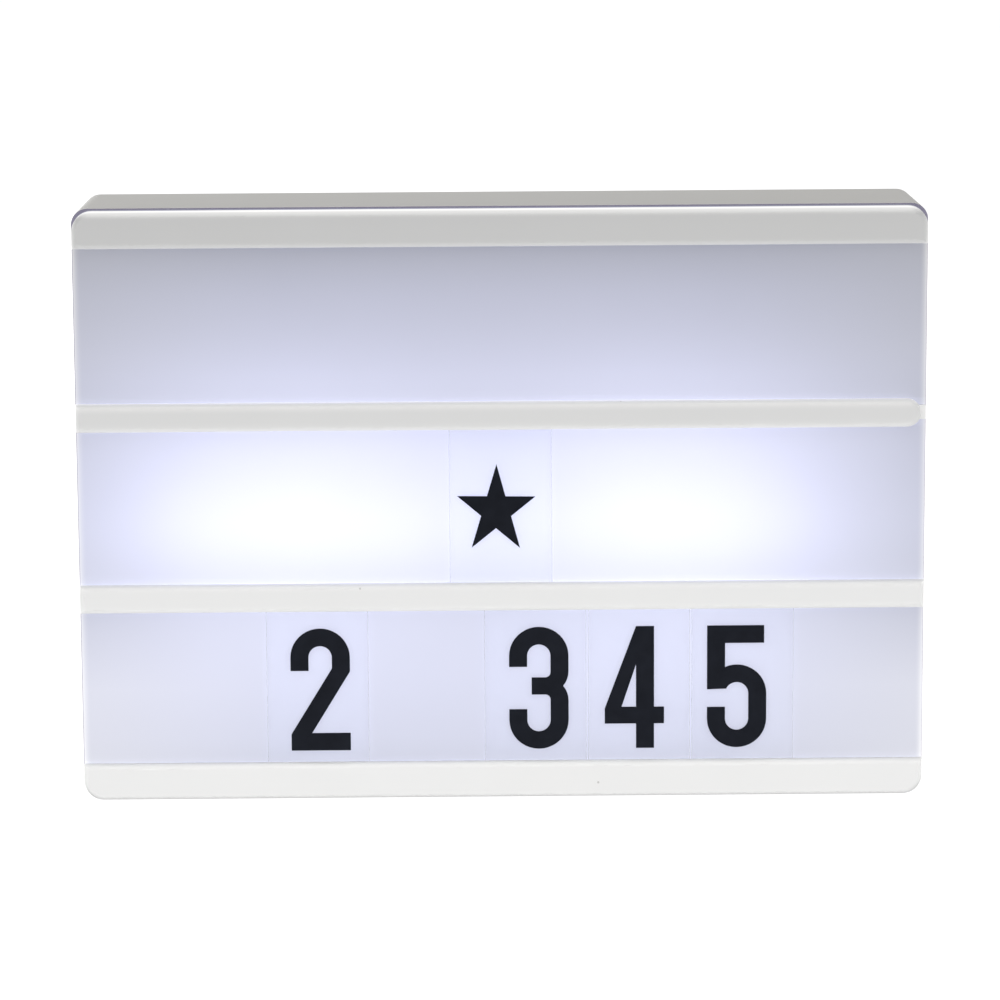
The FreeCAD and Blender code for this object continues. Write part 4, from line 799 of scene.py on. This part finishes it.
for name in ("red_led_lead", "black_led_lead"):
    low, high = lead_boxes[name]
    solder_places.append(((low.x + high.x) / 2, control_low.y, pad_level))
    solder_places.append(((low.x + high.x) / 2, board_back, high.z - lead_radius))
    solder_facing += [1.0, -1.0]
for name in ("red_jumper_lead", "black_jumper_lead"):
    low, high = lead_boxes[name]
    for x in (low.x + lead_radius, high.x - lead_radius):
        solder_places.append((x, board_back, (low.z + high.z) / 2))
        solder_facing.append(-1.0)
solder = stand_copies("solder_joints", solder_tree, solder_places, facing=solder_facing)
fit_piece(solder, [])

# Screws
# Self-tapping screws with a low round head and a cross recess, zinc plated. Six long ones
# hold the case to the bosses of the panel, and six short ones hold the boards.
screw_tree, screw_sizes = shape_tree(
    "tapping_screw",
    {
        "Head Radius": 2.5 * mm,
        "Head Height": 1.9 * mm,
        "Shank Radius": 1.25 * mm,
        "Shank Length": 11.0 * mm,
        "Thread Pitch": 1.0 * mm,
        "Recess Width": 0.7 * mm,
        "Recess Length": 2.4 * mm,
        "Recess Depth": 0.8 * mm,
        "Seed": 7,
    },
)
dome = calculate(screw_tree, "POWER", calculate(screw_tree, "MULTIPLY", share_of_height(screw_tree), 0.95), 4.0)
dome = calculate(screw_tree, "SQRT", calculate(screw_tree, "SUBTRACT", 1.0, dome))
head_radius = calculate(screw_tree, "MULTIPLY", dome, screw_sizes["Head Radius"])
head = turned_shape(screw_tree, screw_sizes["Head Height"], head_radius, 28, 10)
recess_depth = calculate(screw_tree, "MULTIPLY", screw_sizes["Recess Depth"], 2.0)
arms = [
    block_shape(screw_tree, (*widths, recess_depth), (0.0, 0.0, screw_sizes["Head Height"]), 0)
    for widths in (
        (screw_sizes["Recess Length"], screw_sizes["Recess Width"]),
        (screw_sizes["Recess Width"], screw_sizes["Recess Length"]),
    )
]
recessed = {0: head, 1: join_shapes(screw_tree, arms)}
head = add_node(screw_tree, "GeometryNodeMeshBoolean", recessed, solver="EXACT")
core_radius = calculate(screw_tree, "MULTIPLY", screw_sizes["Shank Radius"], 0.78)
pointed = calculate(screw_tree, "MULTIPLY", share_of_height(screw_tree), 4.0)
pointed = calculate(screw_tree, "MINIMUM", calculate(screw_tree, "ADD", pointed, 0.4), 1.0)
shank_radius = calculate(screw_tree, "MULTIPLY", pointed, core_radius)
shank = turned_shape(screw_tree, screw_sizes["Shank Length"], shank_radius, 14, 20)
sunk = calculate(screw_tree, "MULTIPLY", screw_sizes["Shank Length"], -1.0)
shank = moved_shape(screw_tree, shank, vector_of(screw_tree, 0.0, 0.0, sunk))
thread_length = calculate(screw_tree, "MULTIPLY", screw_sizes["Shank Length"], 0.84)
thread_turns = calculate(screw_tree, "DIVIDE", thread_length, screw_sizes["Thread Pitch"])
helix = {0: 14, 1: thread_turns, 2: core_radius, 3: core_radius, 4: thread_length}
helix_curve = add_node(screw_tree, "GeometryNodeCurveSpiral", helix)
ridge_size = calculate(screw_tree, "MULTIPLY", screw_sizes["Shank Radius"], 0.2)
ridge = add_node(screw_tree, "GeometryNodeCurvePrimitiveCircle", {0: 4, 4: ridge_size})
ridged = {"Curve": helix_curve, "Profile Curve": ridge, "Fill Caps": True}
thread = add_node(screw_tree, "GeometryNodeCurveToMesh", ridged)
thread_foot = calculate(screw_tree, "MULTIPLY", screw_sizes["Shank Length"], -0.9)
thread = moved_shape(screw_tree, thread, vector_of(screw_tree, 0.0, 0.0, thread_foot))
turns_at_random = {2: 0.0, 3: pi / 2, "Seed": screw_sizes["Seed"]}
spin = add_node(screw_tree, "FunctionNodeRandomValue", turns_at_random, data_type="FLOAT")
screw_steel = plated_metal("zinc_plate", (0.62, 0.63, 0.66), 0.33)
end_tree(
    screw_tree,
    screw_sizes,
    marked_shape(screw_tree, join_shapes(screw_tree, [head, shank, thread]), 0),
    facing_turn(screw_tree, spin.outputs[1]),
    [screw_steel],
)
case_head = 2.5 * mm
case_head_height = 1.9 * mm
low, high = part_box("case_screws")
case_places = [
    (x, high.y - case_head_height, z)
    for x in (low.x + case_head, (low.x + high.x) / 2, high.x - case_head)
    for z in (low.z + case_head, high.z - case_head)
]
case_screws = stand_copies("threaded_case_screws", screw_tree, case_places, facing=[-1.0] * 6)
fit_piece(case_screws, ["case_screws"])
board_screw = {
    "Head Radius": 1.8 * mm,
    "Head Height": 1.4 * mm,
    "Shank Radius": 0.8 * mm,
    "Shank Length": 5.0 * mm,
    "Thread Pitch": 0.7 * mm,
    "Recess Length": 1.9 * mm,
    "Recess Depth": 0.6 * mm,
}
board_head = board_screw["Head Radius"]
low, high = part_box("led_board_screws")
screw_reach = low.x + board_head - (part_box("led_board_left")[0].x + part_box("led_board_left")[1].x) / 2
lamp_screw_places = []
for side in ("left", "right"):
    board_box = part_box(f"led_board_{side}")
    for way in (-1, 1):
        x = (board_box[0].x + board_box[1].x) / 2 + way * screw_reach
        lamp_screw_places.append((x, board_front, lamp_height))
lamp_screws = stand_copies("threaded_lamp_board_screws", screw_tree, lamp_screw_places, board_screw)
fit_piece(lamp_screws, ["led_board_screws"])
low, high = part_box("control_board_screws")
control_places = [(x, control_low.y, control_middle.z) for x in (low.x + board_head, high.x - board_head)]
control_screws = stand_copies("threaded_control_board_screws", screw_tree, control_places, board_screw)
fit_piece(control_screws, ["control_board_screws"])

# Light seal
# A thin strip of dark foam in the seam, that keeps light from leaking out beside the panel.
# It is stuck on the rim of the case and pressed flat by the panel. Its dark purple-grey
# stands for the shadow in the seam as well: painted shade.
foam_and_painted_shade, foam_tree, foam_shader = plain_material("seal_foam_and_painted_shade", {"Roughness": 0.95})
foam_place = add_node(foam_tree, "ShaderNodeTexCoord").outputs["Object"]
pores = add_node(foam_tree, "ShaderNodeTexVoronoi", {"Vector": foam_place, "Scale": 4000.0})
# Painted shade: the foam's dark purple-grey also stands for the shadow in the seam.
foam_and_shade_colour = add_node(foam_tree, "ShaderNodeValToRGB", {0: pores.outputs["Distance"]})
foam_and_shade_colour.color_ramp.elements[0].color = (0.26, 0.245, 0.33, 1.0)
foam_and_shade_colour.color_ramp.elements[1].color = (0.38, 0.36, 0.46, 1.0)
foam_tree.links.new(foam_and_shade_colour.outputs[0], foam_shader.inputs["Base Color"])
foam_relief = {"Strength": 0.5, "Distance": 0.05 * mm, "Height": pores.outputs["Distance"]}
foam_bump = add_node(foam_tree, "ShaderNodeBump", foam_relief)
foam_tree.links.new(foam_bump.outputs[0], foam_shader.inputs["Normal"])
dress(["light_seal"], foam_and_painted_shade)

# Front panel
# A 2 mm sheet of opal acrylic that spreads the light of the eight lamps behind it. Each lamp
# makes a soft pool and scattered light fills the rest. Painted shade dims bands of the glow next to
# the rails, and painted light brightens the ends of the sheet and its cut edges.
opal, opal_tree, opal_shader = plain_material(
    "opal_acrylic",
    {"Base Color": (0.503, 0.515, 0.575, 1.0), "Roughness": 0.42, "IOR": 1.49, "Emission Strength": 1.0},
)
opal.cycles.emission_sampling = "NONE"


def lamp_distances(tree, places):
    """How far a point of the front is from each place along the row of lamps."""
    place = add_node(tree, "ShaderNodeTexCoord").outputs["Object"]
    flat = add_node(tree, "ShaderNodeVectorMath", {0: place, 1: (1.0, 0.0, 1.0)}, operation="MULTIPLY")
    found = []
    for row_place in places:
        settings = {0: flat, 1: (row_place, 0.0, lamp_height)}
        distance = add_node(tree, "ShaderNodeVectorMath", settings, operation="DISTANCE")
        found.append(distance.outputs["Value"])
    return found


def pools_of_light(tree, distances, spread):
    """The light of all lamps on a sheet this far away; each pool falls off as 1 / (1 + (d/s)^2)^2."""
    total = None
    for distance in distances:
        share = calculate(tree, "DIVIDE", distance, spread)
        pool = calculate(tree, "POWER", calculate(tree, "MULTIPLY_ADD", share, share, 1.0), -2.0)
        total = calculate(tree, "ADD", total, pool) if total else pool
    return total


def painted_edge_ramp(tree, coordinate, edge, width):
    """A ramp for painted light or shade along an edge: 1 at the edge, falling to 0 this far from it."""
    away = calculate(tree, "ABSOLUTE", calculate(tree, "SUBTRACT", coordinate, edge))
    ramp = {"Value": away, "From Min": width, "From Max": 0.0, "To Min": 0.0, "To Max": 1.0}
    left_over = add_node(tree, "ShaderNodeMapRange", ramp)
    return calculate(tree, "MULTIPLY", left_over, left_over)


# The white top of the battery well throws some light forward between the two boards.
well_glint = -20.0 * mm
opal_distances = lamp_distances(opal_tree, [*lamp_places, well_glint])
direct = calculate(opal_tree, "MULTIPLY", pools_of_light(opal_tree, opal_distances, 20.5 * mm), 0.085)
lamps_only = opal_distances[:-1]
scattered = calculate(opal_tree, "MULTIPLY", pools_of_light(opal_tree, lamps_only, 65.0 * mm), 0.165)
shine = calculate(opal_tree, "ADD", direct, scattered)
opal_place = add_node(opal_tree, "ShaderNodeTexCoord").outputs["Object"]
opal_axes = add_node(opal_tree, "ShaderNodeSeparateXYZ", {0: opal_place})
sheet_haze = add_node(opal_tree, "ShaderNodeTexNoise", {"Vector": opal_place, "Scale": 60.0})
haze = add_node(opal_tree, "ShaderNodeMapRange", {"Value": sheet_haze, "To Min": 0.97, "To Max": 1.03})
shine = calculate(opal_tree, "MULTIPLY", shine, haze)
panel_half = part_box("front_panel")[1].x
sideways = calculate(opal_tree, "ABSOLUTE", opal_axes.outputs["X"])
# Painted highlight at the cut edges of the sheet: next to them half the glow gives way to a warm light, added
# further down.
sheet_edge = painted_edge_ramp(opal_tree, sideways, panel_half, 1.9 * mm)
shine = calculate(
    opal_tree, "MULTIPLY", shine, calculate(opal_tree, "MULTIPLY_ADD", sheet_edge, -0.5, 1.0)
)
below, above = 0, 1
# Painted shade: bands of the glow below and above each rail are dimmed, where the rails' flanges shade the sheet.
SHADES = [
    ("top_rail", below, 14.0 * mm, 0.5),
    ("upper_rail", above, 8.0 * mm, 0.25),
    ("upper_rail", below, 8.0 * mm, 0.1),
    ("lower_rail", above, 18.0 * mm, 0.24),
    ("lower_rail", below, 35.0 * mm, 0.38),
    ("bottom_rail", above, 7.0 * mm, 0.3),
]
for name, side, width, loss in SHADES:
    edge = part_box(name)[side].z
    past = calculate(opal_tree, ("LESS_THAN", "GREATER_THAN")[side], opal_axes.outputs["Z"], edge)
    shade = calculate(opal_tree, "MULTIPLY", painted_edge_ramp(opal_tree, opal_axes.outputs["Z"], edge, width), past)
    shine = calculate(opal_tree, "MULTIPLY", shine, calculate(opal_tree, "MULTIPLY_ADD", shade, -loss, 1.0))
cool_light = {0: (0.68, 0.70, 1.0), "Scale": shine}
cool_light = add_node(opal_tree, "ShaderNodeVectorMath", cool_light, operation="SCALE")
# Painted light: the ends of the sheet are brightened, most of it below, next to the floor, for the
# light that the side walls throw back on them.
towards_end = {"Value": sideways, "From Min": 55.0 * mm, "From Max": panel_half}
towards_end = add_node(opal_tree, "ShaderNodeMapRange", towards_end)
low_down = {"Value": opal_axes.outputs["Z"], "From Min": 47.0 * mm, "From Max": 28.0 * mm, "To Max": 0.125}
high_up = {"Value": opal_axes.outputs["Z"], "From Min": 98.0 * mm, "From Max": 112.0 * mm, "To Max": 0.04}
ends = [add_node(opal_tree, "ShaderNodeMapRange", reach) for reach in (low_down, high_up)]
painted_end_light = calculate(opal_tree, "MULTIPLY", calculate(opal_tree, "ADD", *ends), towards_end)
painted_edge_light = calculate(opal_tree, "MULTIPLY_ADD", sheet_edge, 0.3, painted_end_light)
painted_warm_light = {0: (1.0, 0.97, 0.87), "Scale": painted_edge_light}
painted_warm_light = add_node(opal_tree, "ShaderNodeVectorMath", painted_warm_light, operation="SCALE")
panel_light = add_node(opal_tree, "ShaderNodeVectorMath", {0: cool_light, 1: painted_warm_light}, operation="ADD")
opal_tree.links.new(panel_light.outputs[0], opal_shader.inputs["Emission Color"])
dress(["front_panel"], opal)

# Rails
# Four extruded strips of white plastic, pegged and glued to the panel. Their flanges stand
# over the tracks that hold the tiles, and a painted highlight lies along their thin edges and ends.
rail_white = moulded_plastic("rail_abs", (0.858, 0.858, 0.852), 0.40, mottle=0.035, grain=0.5 * mm, speck_share=0.14)
rail_white.cycles.emission_sampling = "NONE"
rail_tree = rail_white.node_tree
rail_place = add_node(rail_tree, "ShaderNodeTexCoord").outputs["Object"]
rail_axes = add_node(rail_tree, "ShaderNodeSeparateXYZ", {0: rail_place})
# Painted highlight: the rails glow along their upper and lower edges and at both ends.
RAIL_EDGES = [
    ("top_rail", 1.9 * mm, 0.64, 0.08),
    ("upper_rail", 2.6 * mm, 0.28, 0.10),
    ("lower_rail", 2.2 * mm, 0.14, 0.09),
    ("bottom_rail", 1.9 * mm, 0.06, 0.12),
]
painted_rail_highlight = calculate(
    rail_tree,
    "MULTIPLY",
    painted_edge_ramp(rail_tree, calculate(rail_tree, "ABSOLUTE", rail_axes.outputs["X"]), panel_half, 1.5 * mm),
    0.12,
)
for name, highlight_width, upper_highlight, lower_highlight in RAIL_EDGES:
    low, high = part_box(name)
    for edge, highlight_strength in ((high.z, upper_highlight), (low.z, lower_highlight)):
        glow = painted_edge_ramp(rail_tree, rail_axes.outputs["Z"], edge, highlight_width)
        painted_rail_highlight = calculate(rail_tree, "ADD", painted_rail_highlight, calculate(rail_tree, "MULTIPLY", glow, highlight_strength))
rail_shader = rail_tree.nodes["Principled BSDF"]
rail_shader.inputs["Emission Color"].default_value = (1.0, 0.99, 0.97, 1.0)
rail_tree.links.new(painted_rail_highlight.outputs[0], rail_shader.inputs["Emission Strength"])
dress([rail[0] for rail in RAIL_EDGES], rail_white)

# Letter tiles
# Clear film tiles, cut with rounded corners. Their cut edges are a little frosted, which
# shows as a faint line, and each tile slides in its track.
film = bpy.data.materials.new("clear_film")
film.use_nodes = True
film_tree = film.node_tree
film_shader = film_tree.nodes["Principled BSDF"]
film_shader.inputs["Base Color"].default_value = (0.9, 0.92, 0.95, 1.0)
film_shader.inputs["IOR"].default_value = 1.49
film_place = add_node(film_tree, "ShaderNodeTexCoord").outputs["Object"]
scuffs = add_node(film_tree, "ShaderNodeTexNoise", {"Vector": film_place, "Scale": 150.0, "Detail": 6.0})
scuffed = add_node(film_tree, "ShaderNodeMapRange", {"Value": scuffs, "To Min": 0.06, "To Max": 0.2})
film_tree.links.new(scuffed.outputs[0], film_shader.inputs["Roughness"])
film_clear = add_node(film_tree, "ShaderNodeBsdfTransparent", {"Color": (0.975, 0.975, 0.975, 1.0)})
film_shine = add_node(film_tree, "ShaderNodeFresnel", {"IOR": 1.25})
film_mix = add_node(film_tree, "ShaderNodeMixShader", {0: film_shine, 1: film_clear, 2: film_shader})
film_tree.links.new(film_mix.outputs[0], film_tree.nodes["Material Output"].inputs["Surface"])
cut_edge, cut_tree, cut_shader = plain_material(
    "frosted_edge", {"Roughness": 0.6, "Alpha": 0.27, "IOR": 1.49}
)
cut_place = add_node(cut_tree, "ShaderNodeTexCoord").outputs["Object"]
saw_marks = add_node(cut_tree, "ShaderNodeTexNoise", {"Vector": cut_place, "Scale": 2500.0})
frost = {0: saw_marks, 6: (0.66, 0.67, 0.72, 1.0), 7: (0.56, 0.57, 0.62, 1.0)}
frosted = add_node(cut_tree, "ShaderNodeMix", frost, data_type="RGBA")
cut_tree.links.new(frosted.outputs[2], cut_shader.inputs["Base Color"])
tile_names = ["star_tile", "tile_one", "tile_two", "tile_three", "tile_four"]
tile_corner = 1.0 * mm
edge_break = 0.18 * mm
for name in tile_names:
    low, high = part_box(name)
    broken = Vector((edge_break, 0.0, edge_break))
    rings = [
        rounded_ring(low + broken, high - broken, tile_corner - edge_break, low.y),
        rounded_ring(low, high, tile_corner, low.y + edge_break),
        rounded_ring(low, high, tile_corner, high.y - edge_break / 2),
        rounded_ring(low + broken / 2, high - broken / 2, tile_corner - edge_break / 2, high.y),
    ]
    tile = skin(f"{name}_film", rings, [film, cut_edge], [1, 1, 1])
    for face in tile.data.polygons:
        if len(face.vertices) > 4:
            face.material_index = 0
    fit_piece(tile, [name], f"{name}_body")

# Tile prints
# One black figure on the face of each tile, in flat screen-printing ink: a star above and
# plain narrow numbers below, 31 mm tall, as thick strokes with round bowls.
ink, ink_tree, ink_shader = plain_material(
    "black_ink", {"Roughness": 0.55, "IOR": 1.45, "Specular IOR Level": 0.2}
)
ink_place = add_node(ink_tree, "ShaderNodeTexCoord").outputs["Object"]
ink_cover = add_node(ink_tree, "ShaderNodeTexNoise", {"Vector": ink_place, "Scale": 300.0})
ink_colour = add_node(ink_tree, "ShaderNodeValToRGB", {0: ink_cover})
ink_colour.color_ramp.elements[0].color = (0.007, 0.008, 0.012, 1.0)
ink_colour.color_ramp.elements[1].color = (0.014, 0.016, 0.023, 1.0)
ink_tree.links.new(ink_colour.outputs[0], ink_shader.inputs["Base Color"])

half = 7.4
tall = 15.6
stroke = 4.5
inner = half - stroke
bowl = tall - half
waist = half - 5.7
notch = inner - 1.3
number_two = [
    (-half, 4.8),
    *arc(0, bowl, half, 180, 0),
    (half, 4.6),
    (-2.2, stroke - tall),
    (half, stroke - tall),
    (half, -tall),
    (-half, -tall),
    (-half, stroke - tall - 0.3),
    (inner, 5.4),
    *arc(0, bowl, inner, 0, 180),
    (-inner, 4.8),
]
number_three = [
    (-half, 5.4),
    *arc(0, bowl, half, 180, 0),
    *arc(waist, 4.2, 5.7, 0, -40.5),
    *arc(waist, -3.2, 5.7, 40.5, 0),
    *arc(0, -bowl, half, 0, -180),
    (-half, -5.4),
    (-inner, -5.4),
    *arc(0, -bowl, inner, -180, 0),
    *arc(notch, -3.0, 1.3, 0, 90),
    (-1.8, -1.7),
    (-1.8, 2.7),
    *arc(notch, 4.0, 1.3, -90, 0),
    *arc(0, bowl, inner, 0, 180),
    (-inner, 5.4),
]
number_four = [
    (0.4, tall),
    (4.9, tall),
    (4.9, -5.0),
    (half, -5.0),
    (half, -9.3),
    (4.9, -9.3),
    (4.9, -tall),
    (0.4, -tall),
    (0.4, -9.3),
    (-half, -9.3),
    (-half, -5.4),
]
window_of_four = [(0.4, -5.0), (-3.2, -5.0), (0.4, 5.8)]
shoulder = degrees(acos(-inner / half))
number_five = [
    (-half, tall),
    (6.8, tall),
    (6.8, tall - stroke),
    (-inner, tall - stroke),
    *arc(0, -1.8, half, shoulder, 0),
    *arc(0, -bowl, half, 0, -180),
    (-half, -5.2),
    (-inner, -5.2),
    *arc(0, -bowl, inner, -180, 0),
    *arc(0, -1.8, inner, 0, 155),
    (-half, -0.7),
]
star_width = 10.2
star_height = 11.65
star_waist = 0.382
star_points = []
for step in range(10):
    share = star_waist if step % 2 else 1.0
    angle = radians(90 + 36 * step)
    star_points.append((star_width * share * cos(angle), star_height * share * sin(angle)))
PRINTS = [
    ("star_print", "star_tile", [star_points], -1.38, 73.04, 0.7),
    ("number_two_print", "tile_one", [number_two], -45.4, 27.9, 0.0),
    ("number_three_print", "tile_two", [number_three], 9.0, 27.9, 0.0),
    ("number_four_print", "tile_three", [number_four, window_of_four], 32.8, 27.9, 0.0),
    ("number_five_print", "tile_four", [number_five], 58.3, 27.9, 0.0),
]
ink_thickness = 0.03 * mm
facing_front = Matrix.Rotation(pi / 2, 4, "X")
for name, tile_name, outlines, x, z, lean in PRINTS:
    place = Vector((x * mm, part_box(tile_name)[0].y - ink_thickness / 2, z * mm))
    leaning = Matrix.Rotation(radians(lean), 4, "Y") @ facing_front
    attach(flat_figure(name, outlines, ink_thickness, place, leaning, ink), f"{tile_name}_body")

# Cells
# Three AA cells in the well, the middle one turned round. Each has a nickel-plated can in a
# shrunk sleeve, a dark ring round its raised end, and plus and minus marks on the sleeve.
sleeve, sleeve_tree, sleeve_shader = plain_material("cell_sleeve", {"IOR": 1.5, "Coat Weight": 0.4})
cell_place = add_node(sleeve_tree, "ShaderNodeAttribute", attribute_name="cell_place").outputs["Vector"]
cell_axes = add_node(sleeve_tree, "ShaderNodeSeparateXYZ", {0: cell_place})
along, aside, outwards = cell_axes.outputs

plus_place = 44.0 * mm
minus_place = 5.5 * mm
mark_reach = 1.7 * mm
mark_half_width = 0.35 * mm
band = calculate(sleeve_tree, "GREATER_THAN", along, 38.5 * mm)
marks = None
for centre, reach_along, reach_aside in (
    (plus_place, mark_reach, mark_half_width),
    (plus_place, mark_half_width, mark_reach),
    (minus_place, mark_half_width, mark_reach),
):
    mark = calculate(
        sleeve_tree,
        "MULTIPLY",
        calculate(sleeve_tree, "COMPARE", along, centre, reach_along),
        calculate(sleeve_tree, "COMPARE", aside, 0.0, reach_aside),
    )
    marks = calculate(sleeve_tree, "MAXIMUM", marks, mark) if marks else mark
marks = calculate(sleeve_tree, "MULTIPLY", marks, calculate(sleeve_tree, "GREATER_THAN", outwards, 0.0))
light_areas = calculate(sleeve_tree, "ABSOLUTE", calculate(sleeve_tree, "SUBTRACT", band, marks))
scuff = add_node(sleeve_tree, "ShaderNodeTexNoise", {"Vector": cell_place, "Scale": 400.0, "Detail": 5.0})
sleeve_colour = {0: light_areas, 6: (0.028, 0.032, 0.040, 1.0), 7: (0.56, 0.58, 0.60, 1.0)}
sleeve_mix = add_node(sleeve_tree, "ShaderNodeMix", sleeve_colour, data_type="RGBA")
sleeve_tree.links.new(sleeve_mix.outputs[2], sleeve_shader.inputs["Base Color"])
sleeve_gloss = {"Value": scuff, "To Min": 0.22, "To Max": 0.40}
sleeve_gloss = add_node(sleeve_tree, "ShaderNodeMapRange", sleeve_gloss)
sleeve_tree.links.new(sleeve_gloss.outputs[0], sleeve_shader.inputs["Roughness"])
cell_length = 50.5
cell_radius = 7.1
plating, wrap, washer = 0, 1, 2
CELL_PROFILE = [
    (0.3, 4.4, plating),
    (0.0, 4.8, plating),
    (0.0, 6.2, plating),
    (0.35, 6.45, wrap),
    (0.15, 6.8, wrap),
    (0.5, cell_radius, wrap),
    (cell_length - 2.1, cell_radius, wrap),
    (cell_length - 1.6, 6.95, wrap),
    (cell_length - 1.4, 6.6, wrap),
    (cell_length - 1.6, 6.3, washer),
    (cell_length - 1.6, 4.1, plating),
    (cell_length - 1.4, 3.7, plating),
    (cell_length - 1.35, 2.75, plating),
    (cell_length - 1.15, 2.6, plating),
    (cell_length - 0.2, 2.6, plating),
    (cell_length, 2.3, plating),
]
cell_sides_round = 48
for name, side, spot in zip(cell_names, cell_sides, cell_middles):
    low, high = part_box(name)
    flat_end = low.x if side > 0 else high.x
    rings = []
    for reach, radius, finish in CELL_PROFILE:
        rings.append(
            [
                Vector((flat_end + side * reach * mm, spot.y + radius * mm * cos(a), spot.z + radius * mm * sin(a)))
                for a in (2 * pi * step / cell_sides_round for step in range(cell_sides_round))
            ]
        )
    finishes = [finish for reach, radius, finish in CELL_PROFILE[:-1]]
    made = skin(name.replace("battery", "cell"), rings, [nickel, sleeve, black_nylon], finishes, smooth=True)
    made.data.attributes.new("cell_place", "FLOAT_VECTOR", "POINT")
    places = made.data.attributes["cell_place"].data
    for vertex, where in zip(made.data.vertices, places):
        away = vertex.co - Vector((flat_end, spot.y, spot.z))
        where.vector = (side * away.x, side * away.z, away.y)
    fit_piece(made, [name])

# Battery door
# A flat cover in the same white plastic as the case, which hooks in at its lower edge and
# snaps shut above. Four grooves give the thumb a hold.
dress(["battery_door"], case_white)
